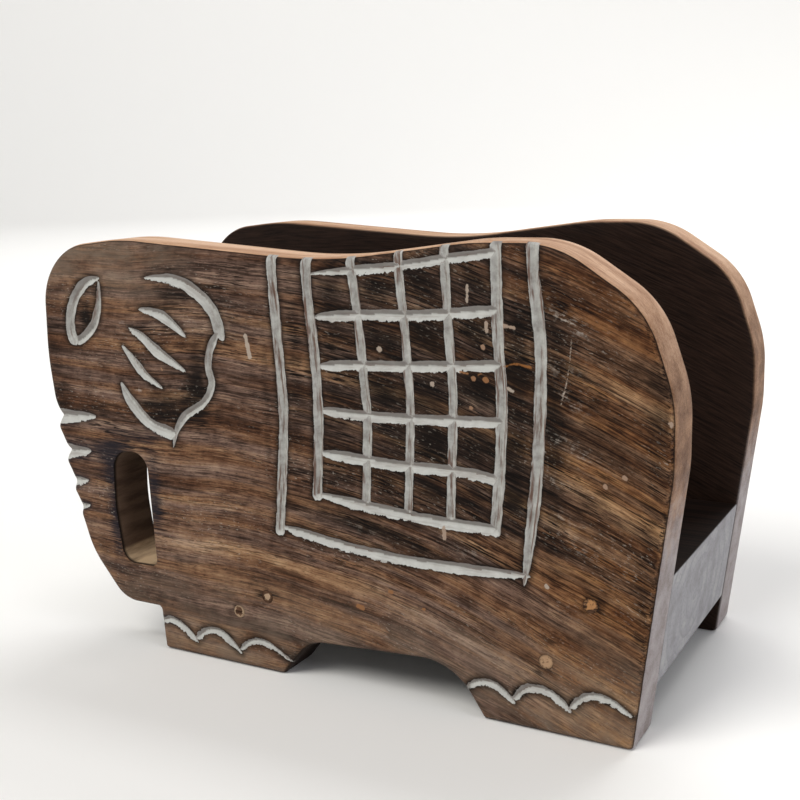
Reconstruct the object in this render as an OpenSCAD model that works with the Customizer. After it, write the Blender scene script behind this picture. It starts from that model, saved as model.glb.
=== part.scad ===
// Table napkin holder: two elephant-shaped boards, carved and eased, on a solid block.
// Millimetres. The origin is on the table under the middle of the holder, X runs from
// the trunk to the rump, Y from the front board to the back board, Z up.

/* [Overall size] */
// Length from the forehead to the rump
body_l = 152; // [144:1:180]
// Height from the table to the top of the back
body_h = 97; // [93:1:115]
// Thickness of each carved board
panel_t = 12; // [9:0.5:16]
// Clear width between the two boards
pocket_w = 52; // [40:1:80]

/* [Board outline] */
// Overhang of the head in front of the front foot
head_reach = 30.3; // [27:0.1:34]
// Length of the front foot on the table
front_foot_l = 34; // [28:0.5:38]
// Length of the rear foot on the table
rear_foot_l = 31.5; // [26:0.5:36]
// Overhang of the rump past the rear foot
rump_lean = 7; // [3:0.5:10]
// Height of the arch under the belly
belly_h = 10.6; // [7:0.2:14]
// Height of the tip of the trunk above the table
trunk_h = 10.2; // [7:0.2:13]
// Depth of the hollow of the back
back_dip = 4.2; // [1:0.2:7]
// Height of the first fold of the trunk above the table
fold_z = 55.4; // [52:0.2:58]
// Drop from the first fold of the trunk to the second
fold_pitch = 8.6; // [7.8:0.1:9.2]
// Radius sanded on the outer edges of the boards
edge_r = 1.6; // [0.6:0.1:2]
// Radius sanded on the pocket edges of the boards
pocket_edge_r = 0.8; // [0.3:0.1:1.2]

/* [Trunk slot] */
// Height of the slot between the trunk and the leg
slot_l = 27.6; // [20:0.2:32]
// Width of the slot
slot_w = 11.4; // [8:0.2:13]
// Distance from the forehead to the middle of the slot
slot_x = 24; // [21:0.2:27]
// Height of the bottom of the slot above the table
slot_z = 20.3; // [17:0.1:23]

/* [Carving] */
// Angle between the two walls of every cut
v_angle = 100; // [80:5:120]
// Width of the blanket's border lines
border_w = 2.5; // [1.4:0.1:3]
// Width of the grid lines on the blanket
grid_w = 2.2; // [1.2:0.1:2.6]
// Columns of squares on the blanket
grid_cols = 4; // [3:1:5]
// Rows of squares on the blanket
grid_rows = 5; // [3:1:6]
// Width of the blanket across the back
blanket_w = 59.6; // [50:0.2:64]
// Distance from the rump to the blanket
blanket_x = 26.4; // [22:0.2:32]
// Height of the blanket's lower border above the table
blanket_z = 32.4; // [29:0.2:36]
// Width of the lines of the ear and the eye
face_w = 2.4; // [1.4:0.1:2.8]
// Width of the trunk folds where they run off the edge
fold_w = 4.4; // [2:0.1:4.8]
// Width of the scalloped line on the feet
scallop_w = 1.7; // [1:0.1:2.2]
// Scallops on each foot
scallops = 3; // [2:1:5]

/* [Base block] */
// Height of the block
block_h = 23; // [16:1:30]
// Length of the block along its foot side
block_l = 104; // [80:1:110]
// Gap between the block and the table
block_z = 9.3; // [5:0.1:14]

/* [Nails and plugs] */
// Diameter of the nail shanks
nail_d = 1.8; // [1.2:0.1:2.4]
// Length of the nails
nail_l = 25; // [18:1:30]
// Diameter of the nail heads and of the plugs over them
nail_head_d = 3; // [2.6:0.1:4]
// Thickness of the nail heads
nail_head_t = 1; // [0.6:0.1:1.6]
// Thickness of the filler plugs over the heads
plug_t = 1.5; // [0.8:0.1:2.5]
// Clearance all round each nail and plug
nail_clear = 0.05; // [0:0.01:0.1]
// Distance of the two head-end nails from the head end of the block
head_nails_x = [11, 19]; // [6:0.1:30]
// Height of the two head-end nails above the bottom of the block
head_nails_z = [3.9, 8.7]; // [3:0.1:20]
// Distance of the two rump-end nails from the heel
rump_nails_x = [17.6, 8.6]; // [6:0.1:30]
// Height of the two rump-end nails above the bottom of the block
rump_nails_z = [6, 19.1]; // [3:0.1:20]

/* [Hidden] */

head_x = -body_l / 2;
rump_x = body_l / 2;
depth = pocket_w + 2 * panel_t;
rear_heel = rump_x - rump_lean;
front_toe = head_x + head_reach;
front_heel = front_toe + front_foot_l;
rear_toe = rear_heel - rear_foot_l;
lean_h = 0.57 * body_h;              // where the rump's straight edge ends
lean = rump_lean / lean_h;           // sideways run of that edge for each mm of height
brow_r = 15;                         // rounding from the forehead to the crown
sweep_r = 60;                        // long curves of the forehead, the crown and the back
back_r = 110;                        // hollow of the back
arc_tol = 0.03;                      // how far a chord may leave its arc
edge_steps = 2;                      // facets on each rounded edge
min_r = 0.05;                        // sharpest corner of an inner ring
over = 0.4;                          // how far a cut starts above the surface
tip_w = 0.16;                        // width left at the point of a cut

wood = "#6b4730";
bare_wood = "#8f8084";
filler = "#a8845c";
steel = "#8c8c90";

// ---- outlines -------------------------------------------------------------------

// Corners of the board, counter-clockwise: [x, z, radius of the rounding].
// The folds of the trunk lie closer together towards its tip.
function fold_height(i) = fold_z - i * fold_pitch + 0.6 * i * (i - 1);
function fold_corners(i) = let (z = fold_height(i))
    [[head_x + 3 + 1.4 * i, z - 0.8, 1], [head_x + 1.5 + 1.7 * i, z - 3.5 + 0.3 * i, 2]];

body_corners = concat(
    [[front_toe, 0, 1], [front_heel, 0, 1],
     [front_heel + 7.2, belly_h - 1.7, 9], [rear_toe - 7, belly_h + 0.2, 13],
     [rear_toe, 0, 0.8], [rear_heel, 0, 1.2],
     [rump_x, lean_h, 40], [rump_x, 0.71 * body_h, 30],
     [rump_x - 5.6, body_h - 11.6, 20], [rump_x - 23, body_h, 22],
     [rump_x - 40, body_h, sweep_r], [3, body_h - back_dip, back_r],
     [head_x + 25, body_h - 0.1, sweep_r], [head_x + 8.8, body_h - 1.9, brow_r],
     [head_x + 0.8, body_h - 9.7, brow_r],
     [head_x, 0.71 * body_h, sweep_r], [head_x + 1.2, fold_z + 2.6, 9]],
    [for (i = [0:3]) each fold_corners(i)],
    [[head_x + 9.4, trunk_h + 11.3, 20], [head_x + 18.5, trunk_h, 8],
     [front_toe - 0.7, trunk_h, 0.8]]);

slot_left = head_x + slot_x - slot_w / 2;
slot_right = slot_left + slot_w;
slot_corners = [
    [slot_left + 1.6, slot_z, 3.6], [slot_right, slot_z + 0.2, 1.6],
    [slot_right - 1, slot_z + slot_l, 4.4], [slot_left + 0.6, slot_z + slot_l - 0.6, 4.6],
    [slot_left - 0.1, slot_z + slot_l / 2, 40]];

block_end = rump_x - rump_lean + lean * (block_z + block_h);
block_start = rear_heel + lean * block_z - block_l;
block_corners = [
    [block_start, block_z, 1.5], [rear_heel + lean * block_z, block_z, 0.3],
    [block_end, block_z + block_h, 0.3], [block_start, block_z + block_h, 1.5]];

// Rounds each corner of a polygon with its own radius. Every ring of one outline has the
// same number of points, because an inset ring keeps the arcs' angles and their centres.
function unit(v) = v / norm(v);
function arc_steps(turn, r) = max(1, ceil(turn / (2 * acos(1 - min(1, arc_tol / r)))));
function ring_corner(c, i, inset) =
    let (n = len(c), p = [c[i][0], c[i][1]], r = c[i][2],
         before = c[(i + n - 1) % n], after = c[(i + 1) % n],
         u = unit([before[0], before[1]] - p), v = unit([after[0], after[1]] - p),
         half = acos(u * v) / 2, turn = 180 - 2 * half,
         side = (v[0] * u[1] - v[1] * u[0]) > 0 ? 1 : -1,
         rr = max(r - side * inset, min_r),
         centre = p + unit(u + v) * (side * inset + rr) / sin(half),
         mid = atan2(-(u + v)[1], -(u + v)[0]), k = arc_steps(turn, r))
    [for (j = [0:k]) let (a = mid + side * turn * (j / k - 0.5))
        centre + rr * [cos(a), sin(a)]];
function ring(c, inset = 0) = [for (i = [0:len(c) - 1]) each ring_corner(c, i, inset)];

// ---- the board blank ----------------------------------------------------------------

// Rings of the board from its outer face at y = 0 to its pocket face at y = panel_t.
edge_rings = concat(
    [for (s = [0:edge_steps]) let (a = 90 * s / edge_steps)
        [edge_r * (1 - sin(a)), edge_r * (1 - cos(a))]],
    [for (s = [0:edge_steps]) let (a = 90 * s / edge_steps)
        [pocket_edge_r * (1 - cos(a)), panel_t - pocket_edge_r * (1 - sin(a))]]);

module board_blank() {
    rings = [for (e = edge_rings) [for (p = ring(body_corners, e[0])) [p[0], e[1], p[1]]]];
    n = len(rings[0]);
    last = len(rings) - 1;
    polyhedron(
        points = [for (r = rings) each r],
        faces = concat(
            [[for (i = [n - 1:-1:0]) i]],
            [for (k = [0:last - 1], i = [0:n - 1]) let (j = (i + 1) % n)
                each [[k * n + i, k * n + j, (k + 1) * n + i],
                      [k * n + j, (k + 1) * n + j, (k + 1) * n + i]]],
            [[for (i = [0:n - 1]) last * n + i]]),
        convexity = 10);
}

// Rounding every corner draws the outline in by a hair, so the carved board is brought
// back to its full length and height.
module carved_board() {
    resize([body_l, 0, body_h]) difference() {
        board_blank();
        slot_cut();
        carving();
    }
}

module slot_cut() {
    translate([0, panel_t + 1, 0]) rotate([90, 0, 0])
        linear_extrude(panel_t + 2, convexity = 4) polygon(ring(slot_corners));
}

// ---- the carving --------------------------------------------------------------------

// Smooth curve through a few points: each span is a cubic whose slope at a point is
// half the step between that point's neighbours.
function span_point(p, i, t) =
    let (a = p[max(i - 1, 0)], b = p[i], c = p[i + 1], d = p[min(i + 2, len(p) - 1)])
    0.5 * (2 * b + (c - a) * t + (2 * a - 5 * b + 4 * c - d) * t * t
           + (3 * b - a - 3 * c + d) * t * t * t);
function curve(p, n) = concat(
    [for (i = [0:len(p) - 2], j = [0:n - 1]) span_point(p, i, j / n)], [p[len(p) - 1]]);

function along(p, i) = unit(p[min(i + 1, len(p) - 1)] - p[max(i - 1, 0)]);
function taper(s, tip) = tip <= 0 ? 1 : min(1, sqrt(s / tip));
function cut_width(s, w, tips) = max(tip_w, w * min(taper(s, tips[0]), taper(1 - s, tips[1])));

// One cut of the V gouge along a curve. It is w wide in the middle and runs out to a
// point over the share tips[0] of its length at the start and tips[1] at the end, and
// a share of 0 leaves that end square.
module cut(points, w, tips = [0.3, 0.3], n = 4) {
    path = curve(points, n);
    last = len(path) - 1;
    spread = tan(v_angle / 2);
    section = [for (i = [0:last])
        let (t = along(path, i), side = [-t[1], t[0]], p = path[i],
             half = cut_width(i / last, w, tips) / 2, deep = half / spread,
             top = half + over * spread, l = p + side * top, r = p - side * top)
        each [[l[0], -over, l[1]], [r[0], -over, r[1]], [p[0], deep, p[1]]]];
    polyhedron(
        points = section,
        faces = concat(
            [[0, 1, 2]],
            [for (i = [0:last - 1], k = [0:2])
                let (a = 3 * i + k, b = 3 * i + (k + 1) % 3)
                each [[a, b + 3, b], [a, a + 3, b + 3]]],
            [[3 * last + 2, 3 * last + 1, 3 * last]]),
        convexity = 6);
}

// Blanket: its own corners, with the right and left borders bowed towards the rump.
border_right = rump_x - blanket_x;
border_left = border_right - blanket_w;
grid_gap = 8.6;                      // from the border to the outer grid line
grid_left = border_left + grid_gap + 0.6;
grid_right = border_right - grid_gap + 1;
grid_low = blanket_z + 10;
grid_high = body_h - 5;
bow = 1.2;                           // how far the upright lines bulge towards the rump
off_edge = 3;                        // how far a line that runs off the board goes on

module upright(x, low, w, tips) {
    mid = (low + body_h) / 2;
    cut([[x - 0.4, low], [x + bow, mid], [x, body_h + off_edge]], w, tips, 3);
}

module blanket_cuts() {
    upright(border_left, blanket_z + 1.2, border_w, [0, 0]);
    upright(border_right, blanket_z - 1.6, border_w * 0.9, [0.4, 0]);
    cut([[border_left, blanket_z + 2.2], [(border_left + border_right) / 2, blanket_z - 0.6],
         [border_right, blanket_z]], border_w * 0.9, [0.2, 0.1], 5);
    for (i = [0:grid_cols])
        upright(grid_left + (grid_right - grid_left) * i / grid_cols, grid_low,
                grid_w, [0, 0]);
    for (j = [0:grid_rows]) {
        share = j / grid_rows;
        cut([[grid_left + 0.8, grid_low + 1.4 + (grid_high - grid_low - 3) * share],
             [(grid_left + grid_right) / 2, grid_low - 0.4 + (grid_high - grid_low) * share],
             [grid_right + 0.4, grid_low - 1.2 + (grid_high - grid_low + 3) * share]],
            grid_w, [0.3, 0], 4);
    }
}

// Face: points are measured from the forehead, and up from the table or down from the back.
function face(dx, dz) = [head_x + dx, body_h + dz];

module eye_cuts() {
    cut([face(18.8, -9.4), face(13, -11), face(9.2, -16), face(8.6, -21.4), face(10.6, -24.6)],
        face_w, [0.3, 0.1], 3);
    cut([face(18.6, -9.7), face(18.4, -14.6), face(16.6, -19.3), face(13.4, -22.2),
         face(10.1, -24.1)], face_w * 0.75, [0.25, 0.1], 3);
}

module ear_cuts() {
    cut([face(32.4, -8.8), face(40, -8.6), face(46, -11.4), face(50.6, -16), face(52.4, -22)],
        face_w, [0.45, 0.04], 3);
    cut([face(51.4, -21), face(48.6, -25.4), face(48.4, -30.6), face(44.6, -36),
         face(39.6, -39.6), face(37.4, -46.6)], face_w * 0.85, [0.1, 0.25], 3);
    cut([face(23.2, -33.4), face(27.8, -39.6), face(32.2, -43), face(38.4, -44.2)],
        face_w, [0.2, 0.05], 3);
    cut([face(29.8, -16), face(37.4, -17.6), face(43.2, -21.6)], face_w * 0.8, [0.5, 0.5], 4);
    cut([face(26.8, -20.4), face(34.2, -24.6), face(42.6, -29)], face_w * 0.9, [0.5, 0.5], 4);
    cut([face(24.2, -24.2), face(29.2, -29.2), face(35.4, -33.6)], face_w * 0.75, [0.5, 0.5], 4);
}

// Folds across the trunk: short wedges that run off its front edge.
fold_len = [13.4, 9.6, 6.6, 5];
fold_share = [1, 1.1, 0.82, 0.66];

module fold_cuts() {
    for (i = [0:3]) {
        z = fold_height(i);
        x = head_x + 1.4 * i;
        cut([[x - off_edge, z - 1], [x + fold_len[i] / 2, z - 0.6], [x + fold_len[i] + 1, z]],
            fold_w * fold_share[i], [0, 0.9], 4);
    }
}

// Scallops: a row of small arches between two points on a foot.
module scallop_cuts(x0, z0, x1, z1) {
    pitch = (x1 - x0) / scallops;
    rise = min(4.2, pitch * 0.35);
    for (i = [0:scallops - 1]) {
        x = x0 + i * pitch;
        z = z0 + (z1 - z0) * i / scallops;
        z_next = z0 + (z1 - z0) * (i + 1) / scallops;
        cut([[x - 0.3, z], [x + pitch * 0.38, z + rise], [x + pitch + 0.5, z_next - 0.3]],
            scallop_w, [0.12, 0.25], 4);
    }
}

module carving() {
    blanket_cuts();
    eye_cuts();
    ear_cuts();
    fold_cuts();
    scallop_cuts(front_toe - 1.2, 4.4, front_heel + 1.8, 3.4);
    scallop_cuts(rear_toe - 4.6, 4.6, rear_heel + 2.4, 6.8);
}

// ---- nails and plugs -----------------------------------------------------------------

// Where the boards are nailed to the block: two nails near each end of the block.
nail_spots = concat(
    [for (i = [0:1]) [block_start + head_nails_x[i], block_z + head_nails_z[i]]],
    [for (i = [0:1]) [rear_heel - rump_nails_x[i], block_z + rump_nails_z[i]]]);

module at_nails() {
    for (s = nail_spots) translate([s[0], 0, s[1]]) rotate([-90, 0, 0]) children();
}
module nail(extra = 0) {
    translate([0, 0, plug_t]) cylinder(h = nail_head_t, d = nail_head_d + 2 * extra, $fn = 32);
    translate([0, 0, plug_t + nail_head_t])
        cylinder(h = nail_l - nail_head_t + extra, d = nail_d + 2 * extra, $fn = 24);
}
module plug(extra = 0) {
    translate([0, 0, -extra]) cylinder(h = plug_t + extra, d = nail_head_d + 2 * extra, $fn = 32);
}

// ---- pieces ---------------------------------------------------------------------------

module front_side() { translate([0, -depth / 2, 0]) children(); }
module back_side() { mirror([0, 1, 0]) front_side() children(); }

module panel() {
    color(wood) difference() {
        carved_board();
        at_nails() nail(nail_clear);
        at_nails() plug(nail_clear);
    }
}

module front_panel() { front_side() panel(); }
module back_panel() { back_side() panel(); }

module base_block() {
    color(bare_wood) difference() {
        translate([0, pocket_w / 2, 0]) rotate([90, 0, 0])
            linear_extrude(pocket_w) polygon(ring(block_corners));
        front_side() at_nails() nail(nail_clear);
        back_side() at_nails() nail(nail_clear);
    }
}

module front_nails() { front_side() color(steel) at_nails() nail(); }
module back_nails() { back_side() color(steel) at_nails() nail(); }
module front_plugs() { front_side() color(filler) at_nails() plug(); }
module back_plugs() { back_side() color(filler) at_nails() plug(); }

front_panel();
back_panel();
base_block();
front_nails();
back_nails();
front_plugs();
back_plugs();
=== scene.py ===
# %% [markdown]
# # A carved napkin holder
# Two thick boards cut to the outline of an elephant stand on their feet with a solid block
# nailed between them. The outer faces are carved with a V gouge, and the cuts are rubbed with
# white paint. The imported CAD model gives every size. This script dresses it: it makes the two
# carved boards again as fine surfaces, gives the block and the small parts their finishes, and
# sets up the camera, the floor and the lights.

from math import cos, pi, radians, sin, tan

import bpy
import numpy as np
from mathutils import Matrix, Vector
from mathutils.geometry import delaunay_2d_cdt


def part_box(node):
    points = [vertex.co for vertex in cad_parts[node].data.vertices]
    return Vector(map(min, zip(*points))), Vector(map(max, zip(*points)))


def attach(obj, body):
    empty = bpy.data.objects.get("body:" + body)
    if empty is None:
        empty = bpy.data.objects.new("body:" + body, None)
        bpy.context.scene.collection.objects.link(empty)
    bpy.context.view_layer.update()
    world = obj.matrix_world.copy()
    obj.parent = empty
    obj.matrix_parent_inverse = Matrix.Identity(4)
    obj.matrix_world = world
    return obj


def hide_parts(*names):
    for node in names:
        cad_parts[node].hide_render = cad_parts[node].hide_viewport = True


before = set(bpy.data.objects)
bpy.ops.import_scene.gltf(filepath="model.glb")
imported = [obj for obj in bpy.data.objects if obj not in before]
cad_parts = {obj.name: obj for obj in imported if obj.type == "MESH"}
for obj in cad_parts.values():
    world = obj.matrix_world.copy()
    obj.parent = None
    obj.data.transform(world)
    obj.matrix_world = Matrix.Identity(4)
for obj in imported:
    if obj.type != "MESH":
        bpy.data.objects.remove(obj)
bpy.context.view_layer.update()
MM = 0.001


def box_mm(node):
    """Lowest and highest corner of a CAD node, in millimetres, as two arrays."""
    low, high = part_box(node)
    return np.array(low) / MM, np.array(high) / MM


board_low, board_high = box_mm("front_panel")
block_low, block_high = box_mm("base_block")
body_l = board_high[0] - board_low[0]
body_h = board_high[2] - board_low[2]
panel_t = board_high[1] - board_low[1]
pocket_w = block_high[1] - block_low[1]
head_x = board_low[0]
rump_x = board_high[0]
print(f"board {body_l:.1f} x {body_h:.1f} x {panel_t:.1f} mm, pocket {pocket_w:.1f} mm wide")

# %% [markdown]
# ## Camera
# The photograph looks at the carved face from its rump side and from a little above. The
# camera's place and lens come from lining up the feet, the back and the far board's edge with
# the photograph, so it is built from an azimuth, a pitch, a small roll and a distance.

# %% Camera
IMAGE_SIDE = 800             # the photograph is this many pixels wide and high
FOCAL_PIXELS = 1162.8        # distance from the lens to the picture, in those pixels
SENSOR_W = 36.0
camera_azimuth = radians(29.107)
camera_pitch = radians(11.674)
camera_roll = radians(-1.651)
camera_place = Vector((131.16, -236.86, 112.42)) * MM


def add_camera():
    """A camera whose back axis is the direction of azimuth and pitch, then rolled about it."""
    back = Vector((sin(camera_azimuth) * cos(camera_pitch),
                   -cos(camera_azimuth) * cos(camera_pitch), sin(camera_pitch)))
    level = Vector((cos(camera_azimuth), sin(camera_azimuth), 0))
    upward = back.cross(level)
    right = level * cos(camera_roll) + upward * sin(camera_roll)
    up = upward * cos(camera_roll) - level * sin(camera_roll)
    turn = Matrix((right, up, back)).transposed().to_4x4()
    data = bpy.data.cameras.new("camera")
    data.sensor_width = SENSOR_W
    data.lens = SENSOR_W * FOCAL_PIXELS / IMAGE_SIDE
    data.clip_start = 0.01
    data.clip_end = 20
    camera = bpy.data.objects.new("camera", data)
    camera.matrix_world = Matrix.Translation(camera_place) @ turn
    bpy.context.scene.collection.objects.link(camera)
    bpy.context.scene.camera = camera
    print(f"camera lens {data.lens:.2f} mm")


add_camera()

# %% [markdown]
# ## Helpers for meshes
# A finished piece keeps its place in its mesh and its object at the origin, so that patterns
# on Object coordinates line up from piece to piece. `make_piece` turns arrays of points and
# faces, in millimetres, into such an object. Its fields become attributes on the points, which
# the finishes read later.

# %% Mesh helper
def make_piece(name, points, faces, fields=None):
    """A smooth object from points in mm and triangles or quads, with its fields on the points."""
    mesh = bpy.data.meshes.new(name)
    groups = faces if isinstance(faces, list) else [faces]
    mesh.vertices.add(len(points))
    mesh.vertices.foreach_set("co", (np.asarray(points) * MM).astype(np.float32).ravel())
    loops = np.concatenate([g.ravel() for g in groups]).astype(np.int32)
    sizes = np.concatenate([np.full(len(g), g.shape[1], np.int32) for g in groups])
    starts = np.concatenate([[0], np.cumsum(sizes)[:-1]]).astype(np.int32)
    mesh.loops.add(len(loops))
    mesh.polygons.add(len(sizes))
    mesh.polygons.foreach_set("loop_start", starts)
    mesh.loops.foreach_set("vertex_index", loops)
    mesh.update(calc_edges=True)
    mesh.validate()
    mesh.polygons.foreach_set("use_smooth", np.ones(len(mesh.polygons), bool))
    for field, values in (fields or {}).items():
        kind = "FLOAT" if values.ndim == 1 else "FLOAT_VECTOR"
        layer = mesh.attributes.new(field, kind, "POINT")
        key = "value" if values.ndim == 1 else "vector"
        layer.data.foreach_set(key, values.astype(np.float32).ravel())
    piece = bpy.data.objects.new(name, mesh)
    bpy.context.scene.collection.objects.link(piece)
    triangles = int((sizes - 2).sum())
    print(f"{name}: {len(points)} points, {triangles} triangles")
    return piece


# %% Ramps and uneven lines
def smooth_step(low, high, value):
    """0 below low, 1 above high, and an S-shaped ramp 3t^2 - 2t^3 between them."""
    t = np.clip((value - low) / (high - low), 0, 1)
    return t * t * (3 - 2 * t)


def wobble(s, seed, wavelength):
    """A smooth uneven line along s: five sines of falling size with seeded phases, about -1 to 1."""
    rng = np.random.default_rng(seed)
    total = np.zeros_like(s, dtype=float)
    for k in range(5):
        stretch = 2 * pi / wavelength * 1.7 ** k
        total += np.sin(s * stretch + rng.uniform(0, 2 * pi)) * 0.7 ** k
    return total / 2.2


sample = wobble(np.linspace(0, 200, 1000), seed=1, wavelength=20)
print(f"an uneven line swings from {sample.min():.2f} to {sample.max():.2f}")

# %% [markdown]
# ## The outline of the board
# The outline was sawn from a plank and sanded: straight or gently bowed runs that meet in
# rounded corners. So it is a list of corners, each with its own radius, in the same sizes as
# the CAD model. An inset ring moves every run inwards and shrinks the arcs by as much, which
# is what the rounded edge of the board needs.

# %% Outline corners
head_reach = 30.3            # from the head's front to the front foot
front_foot_l = 34.0
rear_foot_l = 31.5
rump_lean = 7.0              # how far the rump leans out above the rear foot
belly_h = 10.6
trunk_h = 10.2               # height of the trunk's tip over the table
back_dip = 4.2
FOLDS = 4                    # folds across the trunk
fold_z = 55.4                # height of the topmost trunk fold
fold_pitch = 8.6
brow_r = 15.0                # rounding from the forehead to the crown
sweep_r = 60.0               # long curves of the forehead, the crown and the back
back_r = 110.0               # hollow of the back

front_toe = head_x + head_reach
front_heel = front_toe + front_foot_l
rear_heel = rump_x - rump_lean
rear_toe = rear_heel - rear_foot_l
lean_h = 0.57 * body_h       # height where the rump reaches furthest


def fold_height(i):
    """Height of trunk fold i: the folds lie closer together towards the tip of the trunk."""
    return fold_z - i * fold_pitch + 0.6 * i * (i - 1)


def fold_corners(i):
    """The two corners of the small notch that fold i makes in the outline."""
    z = fold_height(i)
    return [[head_x + 3 + 1.4 * i, z - 0.8, 1], [head_x + 1.5 + 1.7 * i, z - 3.5 + 0.3 * i, 2]]


body_corners = np.array(
    [[front_toe, 0, 1], [front_heel, 0, 1],
     [front_heel + 7.2, belly_h - 1.7, 9], [rear_toe - 7, belly_h + 0.2, 13],
     [rear_toe, 0, 0.8], [rear_heel, 0, 1.2],
     [rump_x, lean_h, 40], [rump_x, 0.71 * body_h, 30],
     [rump_x - 5.6, body_h - 11.6, 20], [rump_x - 23, body_h, 22],
     [rump_x - 40, body_h, sweep_r], [3, body_h - back_dip, back_r],
     [head_x + 25, body_h - 0.1, sweep_r], [head_x + 8.8, body_h - 1.9, brow_r],
     [head_x + 0.8, body_h - 9.7, brow_r],
     [head_x, 0.71 * body_h, sweep_r], [head_x + 1.2, fold_z + 2.6, 9]]
    + [corner for i in range(FOLDS) for corner in fold_corners(i)]
    + [[head_x + 9.4, trunk_h + 11.3, 20], [head_x + 18.5, trunk_h, 8],
       [front_toe - 0.7, trunk_h, 0.8]])
print(f"{len(body_corners)} corners round the board")

# %% Slot corners
slot_x = 24.0                # from the head's front to the middle of the slot
slot_w = 11.4
slot_z = 20.3                # height of the slot's lower end
slot_l = 27.6

slot_left = head_x + slot_x - slot_w / 2
slot_right = slot_left + slot_w
slot_corners = np.array(
    [[slot_left + 1.6, slot_z, 3.6], [slot_right, slot_z + 0.2, 1.6],
     [slot_right - 1, slot_z + slot_l, 4.4], [slot_left + 0.6, slot_z + slot_l - 0.6, 4.6],
     [slot_left - 0.1, slot_z + slot_l / 2, 40]])
print(f"{len(slot_corners)} corners round the slot")

# %% Rings
SHARPEST = 0.05              # smallest radius left on an inset corner


def unit(v):
    """Vectors of length 1 along v."""
    return v / np.linalg.norm(v, axis=-1, keepdims=True)


def heading(angle):
    """Vectors of length 1 at an angle, anticlockwise from the x axis."""
    return np.stack([np.cos(angle), np.sin(angle)], axis=-1)


def arcs(corners, inset):
    """Centre, radius, middle angle and swept angle of each corner's arc, moved in by inset.

    u and v lead from the corner to its neighbours. The centre lies on the line midway between
    them, at radius plus inset over the sine of half the angle.
    """
    p, r = corners[:, :2], corners[:, 2]
    u = unit(np.roll(p, 1, axis=0) - p)
    v = unit(np.roll(p, -1, axis=0) - p)
    half = np.arccos(np.sum(u * v, axis=1)) / 2
    side = np.where(v[:, 0] * u[:, 1] - v[:, 1] * u[:, 0] > 0, 1, -1)
    radius = np.maximum(r - side * inset, SHARPEST)
    centre = p + unit(u + v) * ((side * inset + radius) / np.sin(half))[:, None]
    middle = np.arctan2(-(u + v)[:, 1], -(u + v)[:, 0])
    return centre, radius, middle, side * (pi - 2 * half)


def along_arc(arc, i, share):
    """Points on corner i's arc: share goes from -0.5 at its start to 0.5 at its end."""
    centre, radius, middle, sweep = arc
    return centre[i] + radius[i] * heading(middle[i] + sweep[i] * share)


def ring(corners, inset, spacing):
    """Points round a rounded polygon: arc after arc, with even steps on the runs between.

    The number of points comes from the ring without inset, so that all rings of one
    outline have as many and can be joined row to row.
    """
    plain = arcs(corners, 0.0)
    inner = arcs(corners, inset)
    stretches = []
    for i in range(len(corners)):
        j = (i + 1) % len(corners)
        steps = max(2, int(np.ceil(plain[1][i] * abs(plain[3][i]) / spacing)))
        arc = along_arc(inner, i, np.arange(steps + 1) / steps - 0.5)
        gap = np.linalg.norm(along_arc(plain, j, -0.5) - along_arc(plain, i, 0.5))
        steps = max(1, int(gap / spacing))
        share = np.arange(1, steps)[:, None] / steps
        stretches += [arc, arc[-1] + (along_arc(inner, j, -0.5) - arc[-1]) * share]
    return np.concatenate(stretches)


RING_STEP = 0.45             # distance between points round an outline, mm
print(len(ring(slot_corners, 0.0, RING_STEP)), "points round the slot")

# %% Outline
outline = ring(body_corners, 0.0, RING_STEP)
fit = np.array([body_l, body_h]) / (outline.max(axis=0) - outline.min(axis=0))


def body_ring(inset):
    """Ring of the board's outline, stretched by a hair so that it fills the CAD box."""
    return ring(body_corners, inset, RING_STEP) * fit


outline = body_ring(0.0)
print(f"outline {len(outline)} points, stretched by {fit[0]:.4f} and {fit[1]:.4f}")

# %% [markdown]
# ## The carving
# Each line was cut in one or two pushes of a V gouge, so it swells in the middle, runs out to
# a point where the tool left the wood and stops blunt where it met another cut. A cut is a
# curve through a few places, a width, and how long its pointed ends are. Its depth at any spot
# is what is left of its half width after the distance to the middle line, divided by the
# tangent of half the gouge's angle. Where two cuts cross, the deeper one wins.

# %% Cuts of the blanket
V_ANGLE = radians(100)       # angle between the two walls of a cut
line_w = 2.45
off_edge = 3.0               # how far a line that leaves the board goes on

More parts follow.
